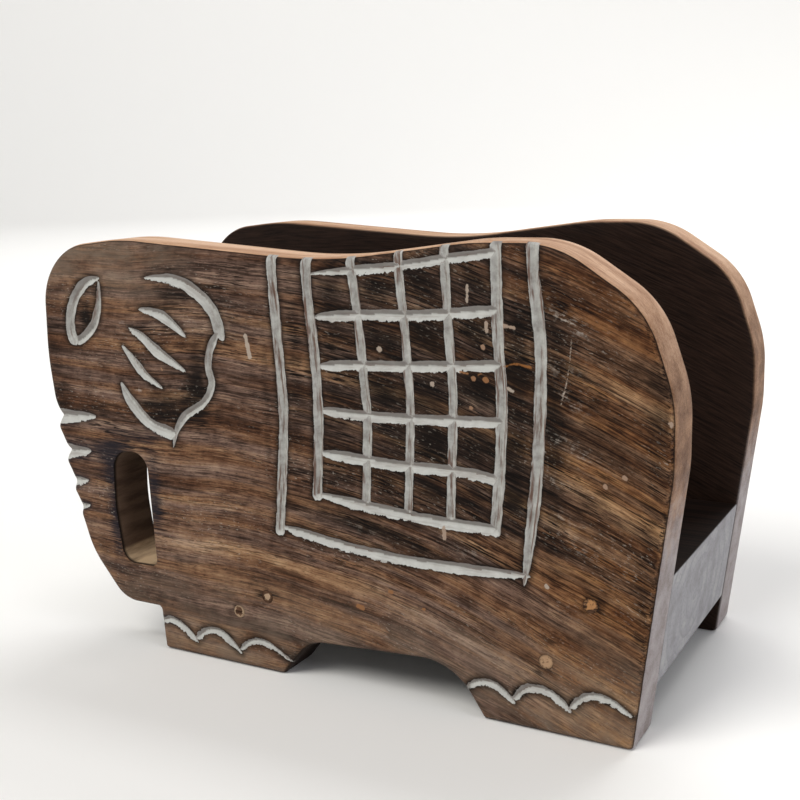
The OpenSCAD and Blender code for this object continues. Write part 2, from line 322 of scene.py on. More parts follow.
# name, width, pointed share at the start and at the end, places [x, z] along it
blanket = [
    ("border left", line_w, 0, 0, [[-9.2, body_h + off_edge], [-9.3, 90], [-8.7, 78], [-8.1, 66],
                                   [-8.1, 58], [-9.4, 44], [-10.4, 34.2]]),
    ("border right", 2.5, 0, 0.16, [[48.8, body_h + off_edge], [49.2, 91], [49.8, 85.8],
                                    [50.6, 76.9], [50.4, 65.5], [49.7, 52.8], [48.5, 42.3],
                                    [46.9, 30.2]]),
    ("border low", 2.3, 0.12, 0.16, [[-9.8, 35.1], [4, 33.0], [19.3, 31.8], [34, 31.9],
                                     [48.4, 32.5]]),
    ("grid left", 2.4, 0, 0, [[-0.6, body_h + off_edge], [-0.8, 92], [-0.6, 85.4], [0.5, 73.4],
                              [0.8, 59.6], [-0.3, 43.4]]),
    ("upright 1", 2.1, 0, 0, [[9.5, body_h + off_edge], [9.8, 93], [10.5, 87.9], [11.5, 78.7],
                              [12.3, 67.1], [12.7, 60.6], [11.7, 43.2]]),
    ("upright 2", 2.0, 0, 0, [[20.6, body_h + off_edge], [20.9, 91], [22.0, 79.1], [22.3, 72.4],
                              [22.7, 63.1], [21.6, 42.4]]),
    ("upright 3", 2.0, 0, 0, [[30.6, body_h + off_edge], [31.0, 92], [31.5, 80.6], [32.1, 71.2],
                              [32.2, 63.9], [31.2, 42.2]]),
    ("upright 4", 2.4, 0, 0, [[41.6, 96.4], [41.8, 86], [42.1, 76.5], [42.6, 67], [42.1, 54],
                              [40.9, 40.7]]),
    ("row 1", 1.9, 0.3, 0, [[0.0, 90.2], [9.4, 91.1], [18.6, 91.9], [31.8, 93.8], [41.6, 95.1]]),
    ("row 2", 2.2, 0.10, 0, [[0.8, 81.4], [12, 82.2], [25.4, 82.7], [41.6, 84.2]]),
    ("row 3", 2.2, 0.08, 0, [[1.2, 71.2], [12, 71.9], [25.2, 72.5], [42.0, 73.7]]),
    ("row 4", 2.2, 0.08, 0, [[1.4, 61.9], [11, 61.5], [22, 61.7], [42.4, 62.6]]),
    ("row 5", 2.3, 0.08, 0, [[1.0, 52.7], [8, 52.3], [20, 51.8], [34, 51.9], [40.4, 51.2]]),
    ("row 6", 2.4, 0.22, 0, [[-0.8, 43.6], [10, 42.4], [19.6, 41.6], [30, 41.0], [40.6, 40.9]]),
]
print(f"{len(blanket)} cuts in the blanket")

# %% Cuts of the eye and the ear
face = [
    ("eye left", 2.8, 0.30, 0.06, [[-57.0, 88.0], [-61.0, 87.0], [-64.6, 84.0], [-66.8, 79.5],
                                   [-67.1, 75.1], [-65.6, 72.2]]),
    ("eye right", 2.2, 0.40, 0.06, [[-57.4, 87.4], [-57.9, 82.4], [-59.6, 77.7], [-62.6, 74.6],
                                    [-66.0, 72.7]]),
    ("ear top", 2.9, 0.5, 0.09, [[-43.8, 88.4], [-36.3, 88.3], [-30.2, 86.0], [-25.4, 81.8],
                                 [-23.6, 77.0], [-22.8, 75.2]]),
    ("ear back", 1.9, 0.1, 0.2, [[-23.9, 77.6], [-26.6, 73.2], [-27.4, 69.2], [-26.7, 65.4],
                                 [-29.2, 61.2], [-34.8, 57.6], [-37.6, 53.8], [-38.7, 50.1]]),
    ("ear low", 2.8, 0.3, 0.05, [[-52.9, 64.2], [-51, 60.7], [-47.9, 57.3], [-44.5, 54.8],
                                 [-38.0, 53.0]]),
    ("ear fold 1", 2.6, 0.5, 0.5, [[-46.1, 81.3], [-41.5, 80.7], [-38, 79.2], [-33.0, 75.6]]),
    ("ear fold 2", 2.7, 0.5, 0.5, [[-49.3, 76.9], [-45.5, 75.0], [-41.5, 71.9], [-33.7, 67.8]]),
    ("ear fold 3", 2.3, 0.5, 0.5, [[-51.8, 72.9], [-48.8, 69.7], [-45.4, 66.2], [-40.6, 63.5]]),
]
print(f"{len(face)} cuts in the eye and the ear")

# %% Cuts of the trunk folds and the feet
fold_len = [13.4, 9.6, 6.6, 5.0]
fold_w = [4.4, 4.9, 3.6, 2.9]
folds = [
    (f"fold {i + 1}", fold_w[i], 0, 0.9,
     [[head_x + 1.4 * i - off_edge, fold_height(i) - 1.0],
      [head_x + 1.4 * i + fold_len[i] / 2, fold_height(i) - 0.6],
      [head_x + 1.4 * i + fold_len[i] + 1, fold_height(i)]])
    for i in range(FOLDS)]
scallops = [
    ("front scallop 1", 1.6, 0.1, 0.2, [[-47.6, 6.2], [-43.4, 7.8], [-39.4, 6.6], [-35.2, 3.4]]),
    ("front scallop 2", 1.7, 0.1, 0.3, [[-35.9, 4.2], [-32.4, 7.0], [-28.2, 7.0], [-22.6, 3.0]]),
    ("front scallop 3", 1.4, 0.1, 0.5, [[-23.3, 3.9], [-19.6, 6.6], [-15.0, 6.6], [-8.5, 3.4]]),
    ("rear scallop 1", 1.5, 0.3, 0.2, [[32.8, 4.8], [36.2, 7.9], [40.4, 8.2], [45.0, 5.0]]),
    ("rear scallop 2", 1.7, 0.1, 0.2, [[44.2, 5.8], [47.6, 9.0], [52.4, 8.8], [56.9, 5.6]]),
    ("rear scallop 3", 1.6, 0.1, 0.4, [[56.2, 6.4], [59.6, 9.6], [64.2, 9.8], [69.4, 7.2]]),
]
cuts = blanket + face + folds + scallops
print(f"{len(folds)} folds and {len(scallops)} scallops, {len(cuts)} cuts in all")


# %% Curve through places
def smooth_curve(places, step):
    """A curve through the places whose slope at each is half the step between its neighbours."""
    p = np.asarray(places, float)
    q = np.concatenate([p[:1], p, p[-1:]])
    spans = []
    for i in range(len(p) - 1):
        a, b, c, d = q[i:i + 4]
        n = max(2, int(np.linalg.norm(c - b) / step))
        t = (np.arange(n) / n)[:, None]
        spans.append(0.5 * (2 * b + (c - a) * t + (2 * a - 5 * b + 4 * c - d) * t ** 2
                            + (3 * b - a - 3 * c + d) * t ** 3))
    return np.concatenate(spans + [p[-1:]])


print("the ear's back is", len(smooth_curve(face[3][-1], 0.7)), "points")


# %% Distance to a curve
def nearest(path, points):
    """For each point: distance to the path, side, length run along it, and the step away from it.

    The point is dropped squarely on each straight step of the path, held between the step's
    ends, and the nearest step wins. The side is 1 to the left of the path and -1 to its right.
    """
    a, b = path[:-1], path[1:]
    span = b - a
    length = np.linalg.norm(span, axis=1)
    run = np.concatenate([[0], np.cumsum(length)])
    off = points[:, None, :] - a[None]
    t = np.clip(np.sum(off * span, axis=2) / length ** 2, 0, 1)
    gap = off - t[:, :, None] * span
    dist = np.linalg.norm(gap, axis=2)
    k = np.argmin(dist, axis=1)
    row = np.arange(len(points))
    away = gap[row, k]
    side = np.sign(span[k, 0] * away[:, 1] - span[k, 1] * away[:, 0])
    return dist[row, k], side, run[k] + t[row, k] * length[k], away


touch = nearest(smooth_curve(face[0][-1], 0.7), np.array([face[0][-1][2]], float))
print(f"the eye passes its third place at {touch[0][0]:.2f} mm")


# %% Fields of the carving
FAR_OFF = -6.0               # groove value where no cut is near
BESIDE = 7.0                 # how far from a cut its field is worked out, mm
CUT_STEP = 0.7               # distance between points on a cut's middle line, mm
CUT_SHIFT = 7.3              # keeps the paint's pattern of one cut apart from the next one's


def pointed(share, tip_a, tip_b):
    """Width along a cut, 0 to 1: the square root of how far along its pointed ends one is."""
    ends = np.ones_like(share)
    if tip_a > 0:
        ends = np.minimum(ends, np.sqrt(np.clip(share / tip_a, 0, 1)))
    if tip_b > 0:
        ends = np.minimum(ends, np.sqrt(np.clip((1 - share) / tip_b, 0, 1)))
    return ends


def carve(points, cut_list, seed):
    """Fields of the carving at each point [x, z].

    groove: millimetres inside the edge of the nearest cut, and negative outside it
    below:  1 on the side of a cut that lies under its middle line, -1 above, 0 beside
    run:    length along that cut, side step from its middle, and the cut's own shift

    A cut's width wavers by a tenth over 17 mm, and each of its sides by half that over 5 mm.
    """
    groove = np.full(len(points), FAR_OFF)
    below = np.zeros(len(points))
    run = np.zeros((len(points), 3))
    for number, (width, tip_a, tip_b, places) in enumerate(cut[1:] for cut in cut_list):
        path = smooth_curve(places, CUT_STEP)
        near = np.all((points > path.min(axis=0) - BESIDE)
                      & (points < path.max(axis=0) + BESIDE), axis=1)
        spots = np.flatnonzero(near)
        if len(spots) == 0:
            continue
        dist, side, length, away = nearest(path, points[spots])
        total = np.linalg.norm(np.diff(path, axis=0), axis=1).sum()
        swell = wobble(length, seed + number, 17)
        nick = wobble(length, seed + 90 + number, 5)
        uneven = 1 + 0.09 * swell + 0.05 * side * nick
        half = width / 2 * pointed(length / total, tip_a, tip_b) * uneven
        inside = half - dist
        better = inside > groove[spots]
        won = spots[better]
        groove[won] = inside[better]
        below[won] = -away[better, 1] / np.maximum(dist[better], 1e-6)
        run[won] = np.stack([length[better], (side * dist)[better],
                             np.full(better.sum(), number * CUT_SHIFT)], axis=1)
    return groove, below, run


middle_of_fold = carve(np.array([folds[1][-1][1]]), cuts, seed=0)[0]
print(f"the second fold is {middle_of_fold[0]:.1f} mm from its edge at its middle line")

# %% [markdown]
# ## Marks on the face
# Paint was flicked and smeared while the cuts were filled: a few dots and dashes of white, and
# orange scratches where the stain was knocked off beside the grid. They lie on the surface
# with hardly any height, so they are a second list, which only colours the wood.

# %% Marks
UNMARKED = -2.0              # mark value where no mark is near

# half width, 1 for orange or 0 for off-white, places [x, z]
marks = [
    (0.55, 0.0, [[-16.9, 76.6], [-16.4, 74.3], [-16.0, 72.0]]),
    (0.60, 0.1, [[15.9, 75.5], [16.1, 75.4]]), (0.48, 0.1, [[27.7, 69.3], [27.8, 68.9]]),
    (0.45, 0.7, [[36.0, 65.1], [36.2, 65.0]]), (0.45, 0.6, [[38.8, 77.2], [39.0, 76.8]]),
    (0.55, 0.8, [[36.7, 70.8], [36.9, 70.7]]), (0.60, 0.9, [[39.2, 70.9], [39.5, 70.6]]),
    (0.26, 0.9, [[34.0, 72.0], [35.6, 71.7]]), (0.24, 0.9, [[37.6, 71.6], [38.6, 71.9]]),
    (0.24, 1.0, [[42.9, 73.4], [45.6, 74.2], [48.6, 73.6]]),
    (0.40, 0.0, [[43.9, 69.4], [44.9, 68.9]]), (0.40, 0.3, [[43.2, 81.3], [45.2, 81.0]]),
    (0.35, 0.1, [[35.6, 85.6], [35.7, 88.6]]), (0.45, 0.2, [[39.5, 81.7], [39.6, 80.1]]),
    (0.45, 0.3, [[29.6, 39.9], [29.8, 37.6]]), (0.50, 0.0, [[51.6, 31.0], [51.8, 30.8]]),
    (0.48, 0.5, [[63.2, 52.3], [63.4, 52.0]]), (0.45, 0.5, [[66.9, 54.4], [67.1, 54.2]]),
    (0.60, 0.9, [[8.9, 19.8], [9.9, 19.5]]), (0.45, 0.9, [[16.7, 24.3], [17.1, 24.2]]),
    (0.40, 0.9, [[24.4, 21.8], [24.7, 21.7]]), (0.35, 0.6, [[-34.3, 28.3], [-34.1, 28.2]]),
    (0.35, 0.7, [[-40.6, 68.0], [-40.4, 67.8]]), (0.45, 0.3, [[75.1, 65.2], [75.4, 64.7]]),
    (0.14, 0.0, [[56.6, 79.4], [56.0, 73], [54.6, 66.8]]),
]
print(f"{len(marks)} marks")


def mark_field(points):
    """Millimetres inside the edge of the nearest mark, and how orange that mark is."""
    inside = np.full(len(points), UNMARKED)
    orange = np.zeros(len(points))
    for half, tone, places in marks:
        path = smooth_curve(places, 0.4)
        near = np.flatnonzero(np.all((points > path.min(axis=0) + UNMARKED)
                                     & (points < path.max(axis=0) - UNMARKED), axis=1))
        if len(near) == 0:
            continue
        dist = nearest(path, points[near])[0]
        better = half - dist > inside[near]
        inside[near[better]] = (half - dist)[better]
        orange[near[better]] = tone
    return inside, orange


# %% [markdown]
# ## Grain, scorching and wear
# The plank's grain runs level along the trunk and dips towards the rump, so the pattern
# follows a bent coordinate: height plus a drop that grows with the square of the distance
# past the ear. The maker also scorched the wood with a torch beside the cuts, inside the ear,
# in the squares and round the slot; the black right beside each cut is partly that scorch and
# partly painted shade. Those soft dark clouds are a field of round blots. More blots say where
# the stain has faded, where it lies thick, and where the face is scuffed.

# %% Dark clouds
grain_start = -34.0          # where the grain starts to dip
grain_dip = 0.0023           # drop in mm for each square mm past that place

# x, z, half width, half height, strength of each dark cloud
clouds = [
    (-31.5, 60.5, 4.5, 5.5, 1.0), (-30.0, 71.0, 3.0, 6.0, 0.6), (-36.0, 84.5, 8.0, 2.4, 0.75),
    (-41.0, 59.0, 6.5, 3.6, 1.0), (-62.0, 78.6, 2.4, 4.2, 1.0), (-38.0, 90.4, 8.0, 1.5, 0.7),
    (-56.8, 44.0, 5.0, 9.0, 0.95), (-57.4, 30.0, 2.6, 12.0, 0.95), (-45.4, 38.0, 2.8, 11.0, 0.92),
    (-50.0, 51.0, 8.0, 2.8, 0.65), (-60.0, 56.0, 9.0, 3.0, 0.5), (-62.0, 47.5, 7.0, 2.5, 0.5),
    (-74.0, 60.0, 4.0, 10.0, 0.45), (-70.0, 42.0, 5.0, 6.0, 0.45), (-44.0, 76.5, 8.0, 2.0, 0.4),
    (18.0, 36.4, 15.0, 1.8, 1.0), (4.0, 38.2, 8.0, 2.2, 0.65), (35.0, 36.4, 9.0, 2.0, 0.7),
    (21.0, 68.0, 26.0, 32.0, 0.70), (53.0, 62.0, 2.4, 24.0, 0.80), (54.0, 86.0, 4.0, 7.0, 0.5),
    (60.0, 62.0, 15.0, 18.0, 0.38), (60.0, 42.0, 14.0, 12.0, 0.36), (62.0, 33.0, 12.0, 6.0, 0.16),
    (56.0, 74.0, 4.0, 9.0, 0.4), (-12.2, 62.0, 1.2, 26.0, 0.35), (-38.0, 70.0, 11.0, 13.0, 0.30),
    (-4.6, 68.0, 2.6, 28.0, 0.50), (-20.0, 82.0, 8.0, 12.0, 0.5), (5.0, 86.5, 4.0, 4.0, 0.85),
    (16.0, 87.6, 5.0, 4.0, 0.8), (26.5, 88.5, 5.0, 4.0, 0.85), (37.0, 89.4, 4.5, 4.0, 0.9),
    (26.8, 79.6, 5.0, 3.4, 0.95), (37.6, 79.8, 4.5, 4.0, 0.97), (37.6, 69.5, 4.8, 4.8, 0.97),
    (16.5, 78.0, 5.0, 4.0, 0.8), (27.0, 68.6, 5.0, 4.4, 0.8), (5.8, 77.5, 5.0, 4.0, 0.6),
    (17.0, 67.0, 5.0, 4.0, 0.75), (6.5, 66.5, 5.0, 4.0, 0.4), (27.2, 57.4, 4.6, 4.8, 0.92),
    (37.4, 57.4, 4.6, 4.8, 0.92), (17.0, 57.4, 4.6, 4.4, 0.7), (6.0, 57.4, 4.6, 4.4, 0.5),
    (17.0, 47.0, 4.6, 4.4, 0.6), (27.2, 47.0, 4.6, 4.4, 0.75), (36.6, 46.6, 4.4, 4.4, 0.8),
    (6.0, 48.0, 4.6, 4.0, 0.6), (45.9, 74.0, 3.5, 18.0, 0.98), (45.0, 50.0, 3.5, 14.0, 0.95),
    (70.8, 28.0, 2.4, 16.0, 0.5), (30.0, 6.5, 6.0, 4.0, 0.4), (-43.6, 58.6, 5.0, 2.4, 1.0),
    (-30.6, 64.5, 2.0, 5.6, 1.0), (-9.0, 4.0, 3.0, 3.0, 0.6), (4.0, 93.6, 34.0, 1.4, 0.5),
    (26.0, 24.0, 26.0, 5.0, 0.3), (61.6, 28.6, 1.6, 1.3, 0.9), (59.0, 27.2, 1.4, 1.0, 0.7),
    (60.6, 30.6, 1.8, 0.8, 0.6), (50.0, 13.0, 2.2, 1.0, 0.85), (53.0, 12.4, 1.8, 0.8, 0.7),
    (-16.8, 18.6, 2.0, 1.0, 0.8), (-13.0, 18.9, 2.2, 0.9, 0.7), (-15.2, 16.0, 1.6, 0.8, 0.6),
    (73.2, 62.0, 2.6, 20.0, 0.62),
]
print(f"{len(clouds)} dark clouds")

# %% Faded, thick and scuffed places
# x, z, half width, half height, strength
faded_places = [
    (-32.0, 30.0, 16.0, 12.0, 0.65), (-30.0, 3.0, 22.0, 6.0, 0.45), (50.0, 3.0, 20.0, 6.0, 0.55),
    (20.0, 22.0, 26.0, 8.0, 0.25), (-54.0, 90.0, 10.0, 3.0, 0.2), (59.0, 52.0, 12.0, 14.0, 0.22),
]
thick_places = [(-74.0, 66.0, 7.0, 14.0, 0.62), (-8.0, 11.0, 10.0, 4.0, 0.12)]
scuffs = [
    (55.6, 83.0, 3.6, 1.0, 1.0), (58.4, 81.0, 3.0, 0.8, 0.8), (55.0, 73.6, 3.2, 1.4, 0.6),
    (56.4, 68.0, 3.0, 1.6, 0.6), (54.4, 59.8, 3.4, 1.0, 0.9), (58.6, 57.6, 3.4, 0.8, 0.8),
    (53.0, 52.4, 2.6, 1.0, 0.7), (55.6, 45.0, 3.0, 1.4, 0.5), (58.0, 39.6, 3.4, 1.2, 0.4),
    (-33.4, 79.2, 2.2, 0.7, 0.9), (-47.0, 62.6, 3.6, 0.6, 0.8), (-50.6, 77.0, 2.4, 1.4, 0.4),
    (-22.0, 82.6, 2.4, 0.6, 0.4), (34.0, 36.0, 4.0, 1.2, 0.4), (10.0, 37.4, 3.6, 1.0, 0.3),
]
print(f"{len(faded_places)} faded, {len(thick_places)} thick and {len(scuffs)} scuffed places")


# %% Blots and grain
def blot_field(points, blots):
    """From 0 to 1: 1 less the product of what each blot leaves, 1 - strength times its bell.

    The bell is e to the power of minus the squared distance in half widths and half heights.
    A blot that is wider than high leans with the grain, which dips past grain_start.
    """
    clear = np.ones(len(points))
    for x, z, half_w, half_h, strength in blots:
        lean = -2 * grain_dip * max(x - grain_start, 0) if half_w > half_h else 0
        off_x = points[:, 0] - x
        off_z = points[:, 1] - z - lean * off_x
        bell = np.exp(-(off_x / half_w) ** 2 - (off_z / half_h) ** 2)
        clear *= 1 - strength * bell
    return 1 - clear


def faded_field(points):
    """Above 0 where the stain has faded and below it where it lies thick, from two blot lists."""
    return blot_field(points, faded_places) - blot_field(points, thick_places)


def grain_field(points, deep, seed):
    """Coordinates for the wood pattern: along the grain, up across it, and into the board.

    Across is the height plus the dip and two slow waves. Along is x with a small turn about
    mid height, so that it stays square to across. Each seed takes another part of the plank.
    """
    x, z = points[:, 0], points[:, 1]
    past = np.maximum(x - grain_start, 0)
    wave = 1.0 * wobble(x + 0.25 * z, seed, 240) + 0.22 * wobble(x - 0.1 * z, seed + 5, 90)
    across = z + grain_dip * past ** 2 + wave
    along = x - 0.22 * (z - 48) * past / 100
    return np.stack([along + 400.0 * (seed % 5), across, deep], axis=1)


ends = grain_field(np.array([[grain_start, 50.0], [rump_x, 50.0]]), np.zeros(2), seed=11)
print(f"the grain dips {ends[1, 1] - ends[0, 1]:.1f} mm from the ear to the rump")


# %% [markdown]
# ## The board as one closed surface
# The carved face needs fine points near the cuts and only coarse ones elsewhere, which a
# plain grid can't give. So points are laid in two lattices, and a Delaunay triangulation joins
# them within the inset outline, the slot and the nail holes. The rounded edge, the sides, the
# slot and the holes are rows of rings joined to it. Last, every point on the front is pushed
# in to the depth of the carving.

# %% Surface builder
class Surface:
    """Collects points [x, depth, z] and triangles, with row after row of rings."""

    def __init__(self):
        """Starts with no points and no triangles."""
        self.points = []
        self.triangles = []
        self.count = 0

    def add_points(self, flat, depth):
        """Adds points [x, z] at a depth behind the carved face and returns their numbers."""
        depth = np.broadcast_to(depth, len(flat))
        self.points.append(np.stack([flat[:, 0], depth, flat[:, 1]], axis=1))
        numbers = np.arange(self.count, self.count + len(flat))
        self.count += len(flat)
        return numbers

    def join_rings(self, front, back, outside):
        """Two triangles for each step round a pair of rings, facing away from the wood."""
        a, b = front, np.roll(front, -1)
        c, d = back, np.roll(back, -1)
        if outside:
            self.triangles += [np.stack([a, c, d], axis=1), np.stack([a, d, b], axis=1)]
        else:
            self.triangles += [np.stack([a, b, d], axis=1), np.stack([a, d, c], axis=1)]

    def fill(self, loops, inner, facing_front):
        """Triangles between closed loops of point numbers and the loose points inside them."""
        numbers = np.concatenate(loops + [inner])
        everything = np.concatenate(self.points)
        flat = everything[numbers][:, [0, 2]]
        edges, start = [], 0
        for loop in loops:
            here = np.arange(start, start + len(loop))
            edges += np.stack([here, np.roll(here, -1)], axis=1).tolist()
            start += len(loop)
        found = delaunay_2d_cdt([Vector(p) for p in flat.tolist()], edges, [], 1, 1e-6)
        if len(found[0]) != len(flat):
            raise ValueError(f"{len(flat)} points went in and {len(found[0])} came out")
        made = np.array(found[2])
        centres = flat[made].mean(axis=1)
        for loop in loops[1:]:
            hole = everything[loop][:, [0, 2]]
            beside = (centres > hole.min(axis=0)) & (centres < hole.max(axis=0))
            near = np.flatnonzero(beside.all(axis=1))
            covered = near[distance_to_loop(centres[near], hole) > 0]
            made = np.delete(made, covered, axis=0)
            centres = np.delete(centres, covered, axis=0)
        made = numbers[made]
        self.triangles.append(made if facing_front else made[:, ::-1])


builder = Surface()
circle_rows = [builder.add_points(heading(np.arange(8.0)), depth) for depth in (0.0, 1.0)]
builder.join_rings(*circle_rows, outside=True)
print(sum(len(part) for part in builder.triangles), "triangles join two rings of 8 points")


# %% Lattice and distance to a loop
def lattice(step, low, high):
    """A triangular lattice between two corners: rows step times half the root of 3 apart.

    Points in a row lie one step apart, and every other row is moved by half a step.
    """
    rise = step * 3 ** 0.5 / 2
    x = np.arange(low[0], high[0], step)
    z = np.arange(low[1], high[1], rise)
    gx, gz = np.meshgrid(x, z)
    gx[1::2] += step / 2
    return np.stack([gx.ravel(), gz.ravel()], axis=1)


def distance_to_loop(points, loop):
    """Distance to a closed loop, positive inside it by the count of crossings to the right."""
    a, b = loop, np.roll(loop, -1, axis=0)
    span = b - a
    result = np.empty(len(points))
    for part in np.array_split(np.arange(len(points)), max(1, len(points) // 3000)):
        p = points[part][:, None, :]
        off = p - a
        t = np.clip(np.sum(off * span, axis=2) / np.sum(span ** 2, axis=1), 0, 1)
        dist = np.linalg.norm(off - t[:, :, None] * span, axis=2).min(axis=1)
        crosses = (a[:, 1] > p[..., 1]) != (b[:, 1] > p[..., 1])
        safe = np.where(span[:, 1] == 0, 1e-9, span[:, 1])
        right = p[..., 0] < a[:, 0] + (p[..., 1] - a[:, 1]) * span[:, 0] / safe
        inside = np.sum(crosses & right, axis=1) % 2 == 1
        result[part] = np.where(inside, dist, -dist)
    return result


furthest = distance_to_loop(lattice(5.0, outline.min(axis=0), outline.max(axis=0)), outline)
print(f"the board's innermost place is {furthest.max():.0f} mm from its outline")

# %% Nail spots
plug_t = 1.5                 # thickness of the filler over a nail's head
nail_head_t = 1.0
bore_r = 1.55                # radius of the counterbore for head and plug
shank_r = 0.95               # radius of the hole for the shank
block_x, block_z = block_low[0], block_low[2]
nail_spots = np.array(
    [[block_x + 11, block_z + 3.9], [block_x + 19, block_z + 8.7],
     [rear_heel - 17.6, block_z + 6], [rear_heel - 8.6, block_z + 19.1]])
print("nails at", np.round(nail_spots, 1).tolist())


def circle(centre, radius, count=40):
    """Points round a circle, anticlockwise."""
    return centre + radius * heading(2 * pi * np.arange(count) / count)


# %% Points of the carved face
FINE = 0.33                  # lattice step near the cuts and marks, mm
COARSE = 1.15                # lattice step on the plain wood, mm
BACK = 3.0                   # lattice step on the flat pocket face, mm
edge_r = 1.6                 # rounding of the carved face's edge, mm
pocket_edge_r = 0.8          # rounding of the pocket face's edge, mm
slot_ease = 0.5              # rounding of the slot's edges, mm
fine_reach = 0.75            # how far past a cut's edge the fine lattice goes, mm
mark_reach = 0.4             # the same for a mark's edge, mm


def clear_of_loops(points, rim, slot, hole_r, room):
    """True for each point that lies at least room from the rim, the slot and the holes."""
    holes = [np.linalg.norm(points - spot, axis=1) > hole_r + room for spot in nail_spots]
    inside = (distance_to_loop(points, rim) > room) & (distance_to_loop(points, slot) < -room)
    return inside & np.all(holes, axis=0)


def face_points():
    """Loose points of the carved face: fine near cuts and marks, coarse elsewhere.

    Both lattices keep clear of the loops by nearly half a step, so that no sliver forms.
    """
    low, high = outline.min(axis=0), outline.max(axis=0)
    slot = ring(slot_corners, -slot_ease, RING_STEP)
    rim = body_ring(edge_r)
    chosen = []
    for step in (FINE, COARSE):
        p = lattice(step, low, high)
        groove = carve(p, cuts, seed=0)[0]
        mark = mark_field(p)[0]
        near = (groove > -fine_reach) | (mark > -mark_reach)
        p = p[near if step == FINE else ~near]
        chosen.append(p[clear_of_loops(p, rim, slot, bore_r, 0.45 * step)])
    return np.concatenate(chosen)


loose_face = face_points()
print(f"{len(loose_face)} loose points on the carved face")


# %% The blank
def wall_rows(surface, ring_at, front_r, back_r, front_steps, wall_steps, outside):
    """Rings through the board's thickness, joined, with both ends rounded.

    At angle a of a rounding with radius r the ring lies r (1 - sin a) in from the full
    outline and r (1 - cos a) deep, and the back's rounding is the same the other way round.
    """
    quarter = np.linspace(0, pi / 2, front_steps)
    shape = [(front_r * (1 - np.sin(a)), front_r * (1 - np.cos(a))) for a in quarter]
    shape += [(0.0, depth) for depth in np.linspace(front_r, panel_t - back_r, wall_steps)[1:-1]]
    shape += [(back_r * (1 - np.cos(a)), panel_t - back_r * (1 - np.sin(a)))
              for a in np.linspace(0, pi / 2, 4)]
    rows = [surface.add_points(ring_at(inset), depth) for inset, depth in shape]
    for front, back in zip(rows, rows[1:]):
        surface.join_rings(front, back, outside)
    return rows


def slot_ring(inset):
    """Ring of the slot: a positive inset lies in the wood round it."""
    return ring(slot_corners, -inset, RING_STEP)


def board_surface():
    """Points [x, depth, z] and triangles of the uncarved blank."""
    s = Surface()
    rim_rows = wall_rows(s, body_ring, edge_r, pocket_edge_r, front_steps=7, wall_steps=6,
                         outside=True)
    slot_rows = wall_rows(s, slot_ring, slot_ease, slot_ease, front_steps=4, wall_steps=14,
                          outside=False)

    bore_fronts, bore_backs = [], []
    for spot in nail_spots:
        rows = [s.add_points(circle(spot, radius), depth)
                for radius, depth in ((bore_r, 0.0), (bore_r, plug_t + nail_head_t),
                                      (shank_r, plug_t + nail_head_t), (shank_r, panel_t))]
        for front, back in zip(rows, rows[1:]):
            s.join_rings(front, back, outside=False)
        bore_fronts.append(rows[0])
        bore_backs.append(rows[-1])

    loose = s.add_points(loose_face, 0.0)
    s.fill([rim_rows[0], slot_rows[0]] + bore_fronts, loose, facing_front=True)
    p = lattice(BACK, outline.min(axis=0), outline.max(axis=0))
    rim, slot = body_ring(pocket_edge_r), slot_ring(slot_ease)
    loose = s.add_points(p[clear_of_loops(p, rim, slot, shank_r, BACK / 2)], panel_t)
    s.fill([rim_rows[-1], slot_rows[-1]] + bore_backs, loose, facing_front=False)
    return np.concatenate(s.points), np.concatenate(s.triangles)


blank_points, blank_triangles = board_surface()
print(f"blank {len(blank_points)} points, {len(blank_triangles)} triangles")


# %% Carved boards
V_FLOOR_MM = 0.12            # how much the very bottom of each V is rounded up
V_FLOOR_FROM = (0.75, 1.4)   # how far inside a cut's edge that starts and is full, mm
FADING = 0.22                # what a wholly faded place adds to the wood's tone
face_y = -(pocket_w / 2 + panel_t)      # where the near board's carved face lies


def carved_depth(flat, groove):
    """How deep the carving lies at each point: the V's wall, with its floor rounded up."""
    depth = np.maximum(groove, 0) / tan(V_ANGLE / 2)
    depth -= V_FLOOR_MM * smooth_step(*V_FLOOR_FROM, groove)
    in_bore = np.any([np.linalg.norm(flat - spot, axis=1) < bore_r + 0.1
                      for spot in nail_spots], axis=0)
    return np.where(in_bore, 0.0, depth)


def board_fields(flat, blank, seed):
    """What the finish needs at each point, from its place and its depth on the blank.

    The numbers for the rim, the pocket and the slot are depths in mm at which each one's
    finish starts and is full.
    """
    on_front = blank < edge_r + 0.01
    groove, below, run = carve(flat, cuts, seed)
    mark, orange = mark_field(flat)
    in_slot = distance_to_loop(flat, slot_ring(0.0)) > -slot_ease - 0.02
    return {
        "groove": np.where(on_front, groove, FAR_OFF), "below": below, "run": run,
        "mark": np.where(on_front, mark, UNMARKED), "orange": orange,
        "scorch": blot_field(flat, clouds), "faded": FADING * faded_field(flat),
        "scuff": np.where(on_front, blot_field(flat, scuffs), 0.0),
        "rim": smooth_step(0.25, 1.35, blank),
        "pocket": smooth_step(panel_t - 0.75, panel_t - 0.1, blank),
        "slot": np.where(in_slot, smooth_step(0.1, 1.5, blank), 0.0),
        "grain": grain_field(flat, blank, seed)}


def make_board(name, node, front, seed):
    """The carved board, standing for its CAD node, with the fields its finish needs."""
    flat, blank = blank_points[:, [0, 2]], blank_points[:, 1]
    fields = board_fields(flat, blank, seed)
    points = blank_points.copy()
    points[:, 1] = face_y + np.maximum(blank, carved_depth(flat, fields["groove"]))
    triangles = blank_triangles
    if not front:
        points[:, 1] *= -1
        triangles = triangles[:, ::-1]
    piece = make_piece(name, points, triangles, fields)
    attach(piece, "root")
    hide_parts(node)
    return piece


front_board = make_board("carved_front_board", "front_panel", front=True, seed=11)
back_board = make_board("carved_back_board", "back_panel", front=False, seed=23)

